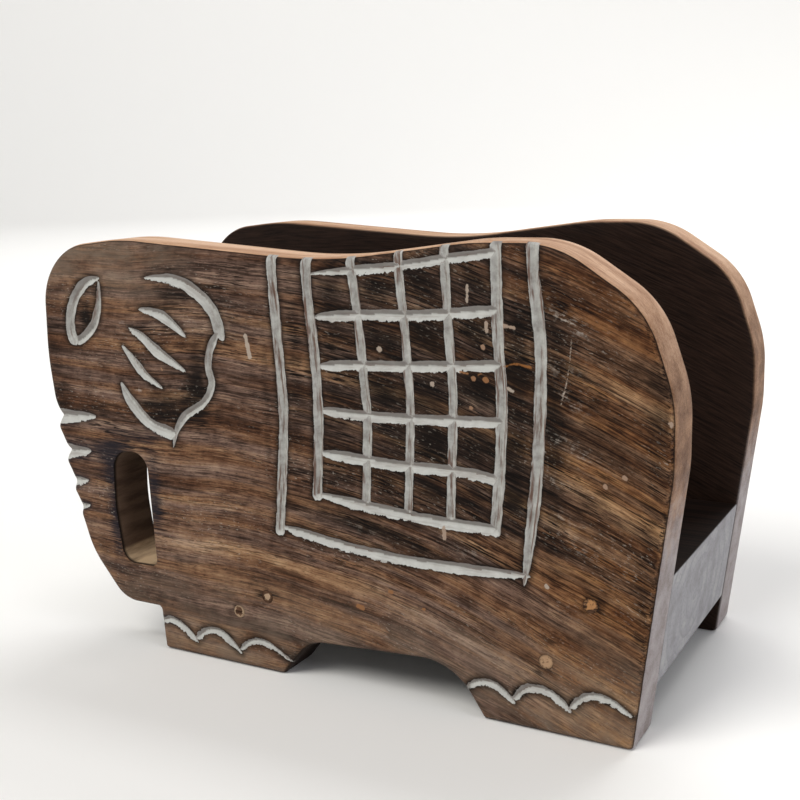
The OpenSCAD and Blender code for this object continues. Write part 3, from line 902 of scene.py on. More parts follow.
# %% [markdown]
# ## Colours and nodes
# Colours are written as the sRGB hex values that a painter would pick from the object, and
# turned to the linear values that the shader works in by one function. One small function
# adds a node with its settings and links, which keeps each finish readable from top to bottom.

# %% Colour and node helpers
def colour(code):
    """Linear RGBA of an sRGB hex colour: ((c + 0.055) / 1.055) ** 2.4, or c / 12.92 near black."""
    values = [int(code[i:i + 2], 16) / 255 for i in (1, 3, 5)]
    return [c / 12.92 if c <= 0.04045 else ((c + 0.055) / 1.055) ** 2.4 for c in values] + [1.0]


def add(tree, kind, *values, output=0, stops=None, **settings):
    """Adds a node, applies its settings and fills its inputs in the order that it shows them.

    A value is a number, a hex colour, or another node's output, which is then linked. None
    leaves an input as it is, and a dict names its inputs instead. stops are the (position,
    hex colour) pairs of a colour ramp. output says which of the node's outputs comes back.
    """
    node = tree.nodes.new("ShaderNode" + kind)
    for name, value in settings.items():
        setattr(node, name, value)
    if stops:
        ramp = node.color_ramp.elements
        while len(ramp) < len(stops):
            ramp.new(0.5)
        for element, (position, code) in zip(ramp, stops):
            element.position = position
            element.color = colour(code)
    shown = [socket for socket in node.inputs if socket.enabled]
    given = dict(enumerate(values))
    if values and isinstance(values[0], dict):
        given = values[0]
    for key, value in given.items():
        socket = node.inputs[key] if isinstance(key, str) else shown[key]
        if isinstance(value, bpy.types.NodeSocket):
            tree.links.new(value, socket)
        elif value is not None:
            socket.default_value = colour(value) if isinstance(value, str) else value
    outputs = [socket for socket in node.outputs if socket.enabled]
    return outputs[output] if outputs else node


print("white paint is", [round(c, 3) for c in colour("#bdbdb9")[:3]], "in linear light")


# %% Materials and streaks
def new_material(name):
    """An empty material and its node tree."""
    material = bpy.data.materials.new(name)
    material.use_nodes = True
    material.node_tree.nodes.clear()
    return material, material.node_tree


def streaks(tree, coordinates, length, width, detail=3.0, roughness=0.5, twist=0.0):
    """Noise drawn out along x to streaks of about this length and width.

    Both are in the unit of the coordinates: mm for the board's grain field, metres for Object.
    """
    squeezed = add(tree, "Mapping", coordinates, None, None, (1 / length, 1 / width, 1 / width))
    return add(tree, "TexNoise", squeezed, 1.0, detail, roughness, 2.0, twist)


print(f"streaks of 9 by 0.5 mm squeeze the grain to {1 / 9:.2f} by {1 / 0.5:.0f} for each mm")


# %% [markdown]
# ## Sheesham with a dark stain
# The boards are a dense, dark hardwood, sanded, stained brown and waxed. Up close it shows
# fine fibres well under a millimetre wide, broad bands a few millimetres wide, and streaks
# that lean to grey brown or to orange brown. Short black dashes, long black threads and finer
# pores lie over them. All of them are noises on the bent grain coordinates, stretched along
# the grain. Two ramps turn the sum of the first ones to colour, and where the stain has faded
# or lies thick is simply added to that sum. Wax leaves hardly any gloss.

# %% Stained wood
fibre_mm = 0.5               # width of the coarsest fibre streaks; their detail goes finer
band_mm = 5.0                # width of a growth band
hue_mm = 4.0                 # width of the streaks of grey brown and orange brown
mottle_mm = 3.0              # size of the uneven patches that the stain left
dash_mm = 0.36               # width of the short black dashes
thread_mm = 0.60             # width of the long black threads
pore_l = 1.8                 # spacing of the pores along the grain, mm
pore_w = 0.34                # spacing of the pores across the grain, mm
print(f"fibres from {fibre_mm} mm, bands of {band_mm} mm, pores every {pore_w} mm")


def stained_wood(tree, grain, place, faded, scorch):
    """Colour of the stained wood, its height for bump, and its fibres, bands and pores."""
    fibres = streaks(tree, grain, 9, fibre_mm, 5.0, 0.72)
    bands = streaks(tree, grain, 85, band_mm, 3.0, 0.55, 0.12)
    mottle = add(tree, "TexNoise", place, 1 / (mottle_mm * MM), 4.0, 0.65)
    tone = add(tree, "Math", bands, 0.86, operation="MULTIPLY")
    tone = add(tree, "Math", fibres, 0.72, tone, operation="MULTIPLY_ADD")
    tone = add(tree, "Math", mottle, 0.34, tone, operation="MULTIPLY_ADD")
    tone = add(tree, "Math", tone, faded, operation="ADD")
    tone = add(tree, "MapRange", tone, 0.65, 1.23)
    cool_wood = add(tree, "ValToRGB", tone, stops=[(0.0, "#150c08"), (0.20, "#30211a"),
                                                   (0.38, "#4c392f"), (0.52, "#614c42"),
                                                   (0.66, "#775f52"), (0.84, "#8f7766"),
                                                   (1.0, "#a78d79")])
    warm_wood = add(tree, "ValToRGB", tone, stops=[(0.0, "#160c07"), (0.20, "#331f13"),
                                                   (0.38, "#523625"), (0.52, "#694a35"),
                                                   (0.66, "#7f5e45"), (0.84, "#957457"),
                                                   (1.0, "#aa8a6a")])
    hue = add(tree, "MapRange", streaks(tree, grain, 70, hue_mm, 3.0, 0.55), 0.42, 0.58)
    wood = add(tree, "Mix", hue, cool_wood, warm_wood, data_type="RGBA")
    open_grain = add(tree, "MapRange", scorch, 0.0, 0.6, 0.55, 1.0)
    dashes = add(tree, "MapRange", streaks(tree, grain, 4.6, dash_mm, 2.0, 0.5), 0.53, 0.59)
    groups = add(tree, "MapRange", streaks(tree, grain, 26, 3.2), 0.40, 0.58, 0.25, 1.0)
    dashes = add(tree, "Math", dashes, groups, operation="MULTIPLY")
    threads = add(tree, "MapRange", streaks(tree, grain, 16, thread_mm, 3.0, 0.55), 0.57, 0.63)
    dashes = add(tree, "Math", dashes, threads, operation="MAXIMUM")
    dashes = add(tree, "Math", dashes, open_grain, operation="MULTIPLY")
    wood = add(tree, "Mix", dashes, wood, "#120904", data_type="RGBA")
    dots = add(tree, "Mapping", grain, None, None, (1 / pore_l, 1 / pore_w, 1 / pore_w))
    dots = add(tree, "TexVoronoi", dots, 1.0, 0.0, 0.5, 2.0, 1.0)
    pores = add(tree, "MapRange", dots, 0.10, 0.26, 0.7, 0.0)
    wood = add(tree, "Mix", pores, wood, "#1b0f08", data_type="RGBA")
    hollows = add(tree, "Math", pores, dashes, operation="MAXIMUM")
    relief = add(tree, "Math", hollows, -0.9, fibres, operation="MULTIPLY_ADD")
    return wood, relief, fibres, bands, pores


# %% [markdown]
# ## Torch marks, worn edges, painted light and shade, and the slot
# Smoke from the torch has soft borders, but it takes better on the open fibres, so the clouds
# are broken up by the streaks before they darken the wood. The black right beside each cut is
# partly scorch and partly painted shade. Round the slot its film is thicker and looks blue.
# Where hands and sandpaper took the stain off, the edge is peach along the back, tan below it
# and lilac grey towards the feet, with dark open pores and a black line where the stain ends;
# the peach is partly a painted highlight from above, and the lilac grey partly painted shade.
# Under the belly the edge is painted dark brown as shade. The slot was bored and sawn: brown
# walls with slanting saw marks, soot near the face, and a bare floor, painted lighter partly as
# a highlight from above.

# %% Soft borders
# where a finish starts to change and where the change is complete, in metres along x or z
borders = {
    "x film": (-0.038, -0.044), "z film": (0.056, 0.050),
    "z sheen head": (0.080, 0.093), "x sheen head": (-0.028, -0.046), "z grey feet": (0.026, 0.002),
    "x warm rump": (0.040, 0.062), "z peach highlight edge": (0.066, 0.092), "z grey shade edge": (0.068, 0.044),
    "z shade under belly": (0.016, 0.011), "x shade under belly": (0.052, 0.046),
    "z lit slot floor": (0.0237, 0.0225), "z scallops": (0.013, 0.011)}
print(f"{len(borders)} soft borders")


# %% Scorch, painted shade beside the cuts, and painted sheen on the head
def scorched_and_shaded(tree, wood, smoke, fibres, scorch, groove, x, z):
    """Wood with the torch clouds, and black beside each cut that reaches further in a cloud.
    That black is partly scorch and partly painted shade along the cut's edge.

    Round the slot, towards the trunk, the smoke film is thicker and looks blue grey.
    """
    uneven = add(tree, "Math", smoke, 0.5, operation="SUBTRACT")
    cloud = add(tree, "Math", uneven, 1.1, scorch, operation="MULTIPLY_ADD")
    threads = add(tree, "Math", fibres, 0.5, operation="SUBTRACT")
    cloud = add(tree, "Math", threads, -1.1, cloud, operation="MULTIPLY_ADD")
    cloud = add(tree, "MapRange", cloud, 0.16, 1.02, interpolation_type="SMOOTHSTEP")
    # painted shade: black beside each cut, over the scorch, as if the cut's edge shaded the wood
    reach = add(tree, "MapRange", scorch, 0.2, 0.8, -1.5, -3.2)
    beside = add(tree, "MapRange", groove, reach, -0.05, 0.0, 1.0)
    beside = add(tree, "Math", beside, 1.3, operation="POWER")
    patchy = add(tree, "MapRange", smoke, 0.34, 0.58, 0.62, 1.0)
    beside = add(tree, "Math", beside, patchy, operation="MULTIPLY")
    # the torch clouds joined with the painted shade beside the cuts
    scorch_and_shade = add(tree, "Math", cloud, beside, operation="MAXIMUM")
    scorch_and_shade = add(tree, "Math", scorch_and_shade, 0.94, operation="MULTIPLY")
    film = add(tree, "MapRange", x, *borders["x film"])
    under_ear = add(tree, "MapRange", z, *borders["z film"])
    film = add(tree, "Math", film, under_ear, operation="MULTIPLY")
    film = add(tree, "Mix", film, "#0a0604", "#1d1b22", data_type="RGBA")
    return add(tree, "Mix", scorch_and_shade, wood, film, data_type="RGBA")


def sheen_head_and_grey_feet(tree, wood, grain, x, z):
    """Wood greyed at the top of the head by a painted sheen, and greyer on the feet, in patches."""
    # painted sheen: the top of the head is greyed as if light glanced off it; the feet greyer too
    head = add(tree, "MapRange", z, *borders["z sheen head"])
    forward = add(tree, "MapRange", x, *borders["x sheen head"])
    head = add(tree, "Math", head, forward, operation="MULTIPLY")
    feet = add(tree, "MapRange", z, *borders["z grey feet"], 0.0, 0.9)
    where = add(tree, "Math", head, feet, operation="MAXIMUM")
    patch = add(tree, "MapRange", streaks(tree, grain, 14, 6, 4.0, 0.6), 0.38, 0.60, 0.1, 0.75)
    where = add(tree, "Math", where, patch, operation="MULTIPLY")
    return add(tree, "Mix", where, wood, "#75675a", data_type="RGBA")


# %% Worn edges
def edged(tree, wood, fibres, bands, smoke, pores, rim, x, z):
    """Wood with the stain worn off its rounded edge and its sides, with painted light on it.

    A painted highlight lightens the edge along the top, painted shade partly greys it towards
    the feet, and painted shade keeps it dark under the belly.
    """
    tone = add(tree, "Math", bands, 0.6, operation="MULTIPLY")
    tone = add(tree, "Math", fibres, 0.4, tone, operation="MULTIPLY_ADD")
    tan_wood = add(tree, "ValToRGB", tone, stops=[(0.36, "#583c29"), (0.5, "#7b5b45"),
                                                  (0.64, "#9d7a5e")])
    # painted highlight: the worn edge is peach along the back, as lit from above
    peach_highlight_wood = add(tree, "ValToRGB", tone, stops=[(0.38, "#9c7458"), (0.5, "#c09a7c"),
                                                    (0.60, "#d3b094")])
    high = add(tree, "MapRange", z, *borders["z peach highlight edge"])
    tan_wood = add(tree, "Mix", high, tan_wood, peach_highlight_wood, data_type="RGBA")
    # painted shade: the worn edge turns lilac grey towards the feet, partly as in shade
    grey_shade_wood = add(tree, "ValToRGB", tone, stops=[(0.36, "#817672"), (0.5, "#968e8e"),
                                                   (0.64, "#a59e9d")])
    height = add(tree, "Math", smoke, 0.022, z, operation="MULTIPLY_ADD")
    low = add(tree, "MapRange", height, *borders["z grey shade edge"],
              interpolation_type="SMOOTHSTEP")
    bare = add(tree, "Mix", low, tan_wood, grey_shade_wood, data_type="RGBA")
    open_pores = add(tree, "Math", pores, 0.5, operation="MULTIPLY")
    bare = add(tree, "Mix", open_pores, bare, "#3b2c22", data_type="RGBA")
    # painted shade: the low edge under the belly is kept dark brown, as the shade there
    under = add(tree, "MapRange", z, *borders["z shade under belly"])
    ahead = add(tree, "MapRange", x, *borders["x shade under belly"])
    under = add(tree, "Math", under, ahead, operation="MULTIPLY")
    bare = add(tree, "Mix", under, bare, "#2b211c", data_type="RGBA")
    uneven = add(tree, "Math", smoke, 0.5, operation="SUBTRACT")
    share = add(tree, "Math", uneven, 0.26, rim, operation="MULTIPLY_ADD")
    line = add(tree, "MapRange", share, 0.03, 0.30, 0.0, 0.85)
    wood = add(tree, "Mix", line, wood, "#170d07", data_type="RGBA")
    share = add(tree, "MapRange", share, 0.40, 0.56, interpolation_type="SMOOTHSTEP")
    return add(tree, "Mix", share, wood, bare, data_type="RGBA")


# %% Slot
saw_mark = (3.333, 16.667, 2.381)       # a saw mark's size along x, y and z before its turn, mm
saw_slant = (0.5, 0.0, 0.3)  # how far the marks are turned, in radians
print(f"saw marks {saw_mark[0]:.1f} by {saw_mark[2]:.1f} mm, {saw_mark[1]:.0f} mm long")


def slotted(tree, wood, slot, place, z):
    """Slot walls with slanting saw marks and soot, over a floor of bare wood
    that is painted lighter, partly as a highlight from above.
    """
    # painted highlight: the bare floor is lighter tan than the walls, partly as lit from above
    lit_floor_share = add(tree, "MapRange", z, *borders["z lit slot floor"],
                      interpolation_type="SMOOTHSTEP")
    lining = add(tree, "Mix", lit_floor_share, "#5e4b3d", "#b3997a", data_type="RGBA")
    per_metre = [1 / (size * MM) for size in saw_mark]
    slanted = add(tree, "Mapping", place, None, saw_slant, per_metre)
    marks_in = add(tree, "TexNoise", slanted, 1.0, 3.0, 0.6)
    lines = add(tree, "MapRange", marks_in, 0.42, 0.62, 0.0, 0.7)
    lining = add(tree, "Mix", lines, lining, "#3c2c21", data_type="RGBA")
    soot = add(tree, "MapRange", slot, 0.10, 0.80, 1.0, 0.0)
    lining = add(tree, "Mix", soot, lining, "#100a07", data_type="RGBA")
    share = add(tree, "MapRange", slot, 0.0, 0.04)
    return add(tree, "Mix", share, wood, lining, data_type="RGBA")


# %% [markdown]
# ## Paint in the cuts
# The white was wiped over the cuts and wiped off the face again, so it stays in the V. It lies
# smooth on the upper wall of a level cut, greyed there by painted shade. On the lower wall it is
# thick, painted whiter as a highlight from above, and ends in a ragged edge, where it caught on
# the torn fibres. In the upright cuts it is rubbed through in long streaks, and on the feet all
# of it is rough. The ragged edge is the distance to the cut's edge with a noise added to it,
# which stays sharp however coarse the mesh is. Some of the filling dust stayed in the pores of
# the face, in drifts of pale dashes.

# %% Paint
chip_mm = 1.1                # size of the paint chips along a ragged edge
torn_mm = 6.0                # size of the stretches where the edge is torn or clean
grit_mm = 2.0                # size of the lumps in the paint
print(f"paint chips of {chip_mm} mm and lumps of {grit_mm} mm")


def painted(tree, wood, place, z, groove, below, run):
    """Wood with the paint over it, the paint's share, and the paint's lumps for bump."""
    chips = add(tree, "TexNoise", place, 1 / (chip_mm * MM), 4.0, 0.62)
    rough_side = add(tree, "MapRange", below, 0.75, 0.97, 0.20, 1.25)
    torn = add(tree, "TexNoise", place, 1 / (torn_mm * MM), 2.0, 0.5)
    torn = add(tree, "MapRange", torn, 0.38, 0.60, 0.35, 1.7)
    rough_side = add(tree, "Math", rough_side, torn, operation="MULTIPLY")
    scalloped = add(tree, "MapRange", z, *borders["z scallops"], 0.0, 1.4)
    rough_side = add(tree, "Math", rough_side, scalloped, operation="MAXIMUM")
    ragged = add(tree, "Math", chips, 0.53, operation="SUBTRACT")
    ragged = add(tree, "Math", ragged, rough_side, operation="MULTIPLY")
    outward = add(tree, "MapRange", below, -0.2, 0.9, -0.05, 0.14)
    edge = add(tree, "Math", groove, ragged, operation="ADD")
    edge = add(tree, "Math", edge, outward, operation="ADD")
    cover = add(tree, "MapRange", edge, -0.02, 0.07)
    along = add(tree, "Mapping", run, None, None, (0.10, 1.5, 1.0))
    rub = add(tree, "TexNoise", along, 1.0, 5.0, 0.64)
    slope = add(tree, "Math", below, operation="ABSOLUTE")
    upright = add(tree, "MapRange", slope, 0.2, 0.7, 1.0, 0.25)
    rubbed = add(tree, "MapRange", rub, 0.48, 0.65, interpolation_type="SMOOTHSTEP")
    rubbed = add(tree, "Math", rubbed, upright, operation="MULTIPLY")
    grit = add(tree, "TexNoise", place, 1 / (grit_mm * MM), 5.0, 0.6)
    paint = add(tree, "ValToRGB", grit, stops=[(0.30, "#8e8b87"), (0.5, "#a9a8a4"),
                                               (0.70, "#bdbdb9")])
    # painted highlight: the paint on the lower wall of a cut is whiter, as lit from above
    bright = add(tree, "MapRange", below, 0.25, 0.9, 0.0, 0.6)
    paint = add(tree, "Mix", bright, paint, "#c6c7c3", data_type="RGBA")
    # painted shade: the paint on the upper wall of a cut is greyer, as shaded from above
    shade = add(tree, "MapRange", below, -0.9, -0.1, 0.8, 0.0)
    paint = add(tree, "Mix", shade, paint, "#7d7874", data_type="RGBA")
    paint = add(tree, "Mix", rubbed, paint, "#6d574d", data_type="RGBA")
    return add(tree, "Mix", cover, wood, paint, data_type="RGBA"), cover, grit, chips


# %% Dust and specks
dust_l = 1.2                 # length of a dash of dust in a pore, mm
dust_w = 0.42                # its width, drawn wider than a pore so that it shows
print(f"dashes of dust {dust_l} by {dust_w} mm")


def dusted(tree, wood, grain, rim):
    """Wood with pale filling dust left in its pores, in drifts, on the flat of the face only."""
    dust = add(tree, "MapRange", streaks(tree, grain, dust_l, dust_w, 2.0, 0.6), 0.61, 0.69)
    drifts = add(tree, "MapRange", streaks(tree, grain, 24, 8), 0.44, 0.66, 0.0, 0.55)
    dust = add(tree, "Math", dust, drifts, operation="MULTIPLY")
    on_face = add(tree, "MapRange", rim, 0.0, 0.1, 1.0, 0.0)
    dust = add(tree, "Math", dust, on_face, operation="MULTIPLY")
    return add(tree, "Mix", dust, wood, "#a59b90", data_type="RGBA")


def specked(tree, finish, chips, fibres, mark, orange, scuff):
    """The loose dots of paint, the scratches of bare wood and the pale scuffs on the face."""
    uneven = add(tree, "Math", chips, 0.5, operation="SUBTRACT")
    share = add(tree, "Math", uneven, 0.9, mark, operation="MULTIPLY_ADD")
    share = add(tree, "MapRange", share, 0.0, 0.16, 0.0, 0.9)
    speck = add(tree, "Mix", orange, "#a89b8e", "#8a5a30", data_type="RGBA")
    finish = add(tree, "Mix", share, finish, speck, data_type="RGBA")
    torn = add(tree, "Math", chips, fibres, operation="ADD")
    torn = add(tree, "MapRange", torn, 1.04, 1.22, 0.0, 0.8)
    torn = add(tree, "Math", torn, scuff, operation="MULTIPLY")
    return add(tree, "Mix", torn, finish, "#b3aaa0", data_type="RGBA")


# %% Board finish
def make_board_finish():
    """The boards' whole finish, from bare wood to paint, on fields that the mesh carries."""
    material, tree = new_material("sheesham_stained_and_waxed")
    names = ("groove", "below", "scorch", "faded", "rim", "pocket", "slot", "mark", "orange",
             "scuff")
    field = {name: add(tree, "Attribute", attribute_name=name, output=2) for name in names}
    grain = add(tree, "Attribute", attribute_name="grain", output=1)
    run = add(tree, "Attribute", attribute_name="run", output=1)
    place = add(tree, "TexCoord", output=3)
    x = add(tree, "SeparateXYZ", place, output=0)
    z = add(tree, "SeparateXYZ", place, output=2)

    wood, relief, fibres, bands, pores = stained_wood(tree, grain, place, field["faded"],
                                                      field["scorch"])
    smoke = streaks(tree, grain, 14, 2.6, 4.0, 0.62)
    warm = add(tree, "MapRange", x, *borders["x warm rump"])
    wood = add(tree, "Mix", warm, wood, "#fff1d6", data_type="RGBA", blend_type="MULTIPLY")
    wood = sheen_head_and_grey_feet(tree, wood, grain, x, z)
    wood = scorched_and_shaded(tree, wood, smoke, fibres, field["scorch"], field["groove"], x, z)
    wood = edged(tree, wood, fibres, bands, smoke, pores, field["rim"], x, z)
    wood = dusted(tree, wood, grain, field["rim"])
    wood = slotted(tree, wood, field["slot"], place, z)
    dark = add(tree, "ValToRGB", fibres, stops=[(0.35, "#120b08"), (0.65, "#30211a")])
    wood = add(tree, "Mix", field["pocket"], wood, dark, data_type="RGBA")
    finish, cover, grit, chips = painted(tree, wood, place, z, field["groove"],
                                          field["below"], run)
    finish = specked(tree, finish, chips, fibres, field["mark"], field["orange"], field["scuff"])

    rough = add(tree, "Math", cover, 0.30, 0.55, operation="MULTIPLY_ADD")
    lumps = add(tree, "Math", grit, cover, operation="MULTIPLY")
    relief = add(tree, "Math", lumps, 1.0, relief, operation="MULTIPLY_ADD")
    normal = add(tree, "Bump", {"Strength": 0.35, "Distance": 0.0002, "Height": relief})
    shader = add(tree, "BsdfPrincipled", {"Base Color": finish, "Roughness": rough,
                                          "Normal": normal, "Specular IOR Level": 0.08})
    add(tree, "OutputMaterial", shader)
    return material


board_finish = make_board_finish()
for board in (front_board, back_board):
    board.data.materials.append(board_finish)
print(len(board_finish.node_tree.nodes), "nodes on", front_board.name, "and", back_board.name)

# %% [markdown]
# ## Filler plugs
# The nails were sunk, and their holes were filled and sanded with the boards. Since then the
# filler has chipped, so each plug shows its own share of pale filler over stained dents: on
# one it is left as a ring, on the next as a dot. A plug is a closed disc: rings from its
# middle out to its rim, down its side and in again.

# %% Plugs
plug_r = 1.5                 # radius of a plug, a hair less than its bore's, mm
DENT = 0.09                  # depth of the dents in a plug's top, mm
PLUG_STEPS = 32              # points round a plug
# share pale, share orange, and where the pale is left: 1 at the rim, -1 in the middle, 0 anywhere
plug_tone = [(0.36, 0.1, 0.55), (0.40, 0.1, -0.6), (0.74, 0.35, 0.0), (0.55, 0.8, -0.1)]


def plug_shell(spot, number):
    """Points [x, depth, z] and triangles of one plug, and each point's distance to its middle.

    Its top is dented by DENT times an uneven line round the plug times a sine over the radius.
    """
    radius = plug_r * np.array([0.15, 0.35, 0.55, 0.72, 0.86, 0.95, 1.0, 1.0, 0.6, 0.1])
    depth = np.array([0.0, 0.0, 0.0, 0.0, 0.01, 0.04, 0.12, plug_t - 0.02, plug_t, plug_t])
    i = np.arange(PLUG_STEPS)
    following = (i + 1) % PLUG_STEPS
    uneven = 1 + wobble(2 * pi * i / PLUG_STEPS * plug_r, 40 + number, 4.7)
    dents = DENT * uneven * np.sin(pi * radius / plug_r)[:, None]
    deep = np.where(depth[:, None] < 0.1, depth[:, None] + np.maximum(dents, 0), depth[:, None])
    rings = np.stack([circle(spot, r, PLUG_STEPS) for r in radius])
    points = np.stack([rings[..., 0], deep, rings[..., 1]], axis=2).reshape(-1, 3)
    ends = [[spot[0], deep[0].mean(), spot[1]], [spot[0], plug_t, spot[1]]]

    row = np.arange(len(radius) - 1)[:, None] * PLUG_STEPS
    a, b = row + i, row + following
    sides = np.concatenate([np.stack([a, b + PLUG_STEPS, b], axis=2).reshape(-1, 3),
                            np.stack([a, a + PLUG_STEPS, b + PLUG_STEPS], axis=2).reshape(-1, 3)])
    n = len(points)
    last = n - PLUG_STEPS
    top = np.stack([np.full(PLUG_STEPS, n), i, following], axis=1)
    low = np.stack([np.full(PLUG_STEPS, n + 1), last + following, last + i], axis=1)
    from_middle = np.concatenate([np.repeat(radius, PLUG_STEPS), [0.0, 0.0]])
    return np.concatenate([points, ends]), np.concatenate([sides, top, low]), from_middle


def make_plugs(name, node, front):
    """The plugs of one board, each with a dented top and its own look."""
    shells = [plug_shell(spot, number) for number, spot in enumerate(nail_spots)]
    each = len(shells[0][0])
    points = np.concatenate([shell[0] for shell in shells])
    faces = np.concatenate([shell[1] + each * k for k, shell in enumerate(shells)])
    looks = np.repeat(np.array(plug_tone), each, axis=0)
    fields = {"pale": looks[:, 0], "orange": looks[:, 1], "rimmed": looks[:, 2],
              "radius": np.concatenate([shell[2] for shell in shells])}
    points[:, 1] += face_y
    if not front:
        points[:, 1] *= -1
        faces = faces[:, ::-1]
    piece = make_piece(name, points, faces, fields)
    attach(piece, "root")
    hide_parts(node)
    return piece


# %% Filler finish
filler_chip_mm = 0.9         # size of the chips in the filler
filler_grain = (12.0, 0.6)   # length and width of the grain under it, mm


def make_filler():
    """Chipped filler: pale where a noise passes the plug's own share, stained wood elsewhere.

    The share grows towards the rim or the middle, as the plug's own look says.
    """
    material, tree = new_material("wood_filler_sanded_and_chipped")
    field = {name: add(tree, "Attribute", attribute_name=name, output=2)
             for name in ("pale", "orange", "rimmed", "radius")}
    place = add(tree, "TexCoord", output=3)
    chips = add(tree, "TexNoise", place, 1 / (filler_chip_mm * MM), 3.0, 0.6)
    lines = streaks(tree, place, *[size * MM for size in filler_grain], 3.0, 0.6)
    stained = add(tree, "ValToRGB", lines, stops=[(0.35, "#2b1b12"), (0.65, "#6b4f3c")])
    filler = add(tree, "Mix", field["orange"], "#a9927a", "#a2703f", data_type="RGBA")
    shares = add(tree, "MapRange", field["pale"], 0.0, 1.0, -0.22, 0.22)
    shares = add(tree, "Math", shares, chips, operation="ADD")
    outward = add(tree, "Math", field["radius"], 0.6 * plug_r, operation="SUBTRACT")
    shares = add(tree, "Math", outward, field["rimmed"], shares, operation="MULTIPLY_ADD")
    shares = add(tree, "MapRange", shares, 0.46, 0.56)
    finish = add(tree, "Mix", shares, stained, filler, data_type="RGBA")
    seam = add(tree, "MapRange", field["radius"], plug_r - 0.5, plug_r - 0.04, 0.0, 0.8)
    seam = add(tree, "Math", seam, chips, operation="MULTIPLY")
    finish = add(tree, "Mix", seam, finish, "#1a110c", data_type="RGBA")
    normal = add(tree, "Bump", {"Strength": 0.4, "Distance": 0.0002, "Height": chips})
    shader = add(tree, "BsdfPrincipled", {"Base Color": finish, "Roughness": 0.75,
                                          "Normal": normal, "Specular IOR Level": 0.1})
    add(tree, "OutputMaterial", shader)
    return material


filler_finish = make_filler()
for name, node, front in (("front_filler_plugs", "front_plugs", True),
                          ("back_filler_plugs", "back_plugs", False)):
    make_plugs(name, node, front).data.materials.append(filler_finish)

# %% [markdown]
# ## Block and nails
# The block was sanded flush with the boards' rump edges, so its end is bare wood, greyed like
# those edges, partly with painted shade, with growth rings round a heart near its middle. Its
# other faces are drawn nearly black. Rings are the distance to the heart, bent by a noise and
# folded into thin lines.
# The nails are plain drawn wire, whose die leaves fine lines along them and a dull shine.

# %% Block
ring_mm = 4.6                # distance between growth rings
ring_bend_mm = 16.667        # size of the bends in a ring
patch_mm = 7.143             # size of the pale patches that sanding left
speckle_mm = 0.625           # size of the cut pores in the end grain
# the next sizes are for the faint streaks on the block's near-black faces
dark_face_streak = (40.0, 1.111)            # length and width of the streaks in the black stain, mm
heart = (0.0, -0.0040, 0.0206)          # middle of the rings, in metres
ring_shape = (0, 1, 1.25)    # the rings run along x and are a little flatter than round


def make_block_finish():
    """Sanded end grain on the slanted end face, lilac grey partly as painted shade,
    and near black-brown on every other face.
    """
    material, tree = new_material("block_end_grain_shaded_and_near_black")
    place = add(tree, "TexCoord", output=3)
    x = add(tree, "SeparateXYZ", place, output=0)
    z = add(tree, "SeparateXYZ", place, output=2)
    past_end = add(tree, "Math", z, -rump_lean / lean_h, x, operation="MULTIPLY_ADD")
    end = add(tree, "MapRange", past_end, (rear_heel - 0.30) * MM, (rear_heel - 0.12) * MM)
    bends = add(tree, "TexNoise", place, 1 / (ring_bend_mm * MM), 2.0, 0.5)
    from_heart = add(tree, "VectorMath", place, heart, operation="SUBTRACT")
    from_heart = add(tree, "VectorMath", from_heart, ring_shape, operation="MULTIPLY")
    from_heart = add(tree, "VectorMath", from_heart, operation="LENGTH", output=0)
    distance = add(tree, "Math", bends, 0.006, from_heart, operation="MULTIPLY_ADD")
    turns = add(tree, "Math", distance, 1 / (ring_mm * MM), operation="MULTIPLY")
    turns = add(tree, "Math", turns, operation="FRACT")
    rings = add(tree, "MapRange", turns, 0.50, 1.0, 0.0, 0.50)
    patches = add(tree, "TexNoise", place, 1 / (patch_mm * MM), 4.0, 0.6)
    faint = add(tree, "MapRange", patches, 0.40, 0.60)
    rings = add(tree, "Math", rings, faint, operation="MULTIPLY")
    # painted shade: the bare end grain is lilac grey, partly the sanded wood and partly as shade
    bare = add(tree, "ValToRGB", patches, stops=[(0.32, "#888688"), (0.5, "#98979a"),
                                                 (0.68, "#a5a4a4")])
    bare = add(tree, "Mix", rings, bare, "#747277", data_type="RGBA")
    speckle = add(tree, "TexNoise", place, 1 / (speckle_mm * MM), 2.0, 0.6)
    dots = add(tree, "MapRange", speckle, 0.36, 0.46, 0.35, 0.0)
    bare = add(tree, "Mix", dots, bare, "#6b676b", data_type="RGBA")
    fibres = streaks(tree, place, *[size * MM for size in dark_face_streak], 4.0, 0.65)
    # near black-brown on every face but the end
    stained = add(tree, "ValToRGB", fibres, stops=[(0.35, "#0c0706"), (0.65, "#271a14")])
    finish = add(tree, "Mix", end, stained, bare, data_type="RGBA")
    height = add(tree, "Math", speckle, fibres, operation="ADD")
    normal = add(tree, "Bump", {"Strength": 0.2, "Distance": 0.0001, "Height": height})
    shader = add(tree, "BsdfPrincipled", {"Base Color": finish, "Roughness": 0.7,
                                          "Normal": normal, "Specular IOR Level": 0.1})
    add(tree, "OutputMaterial", shader)
    return material


# %% Nails
wire_line = (0.2, 5.556, 0.2)           # size of a drawing line in mm: the nail lies along Y


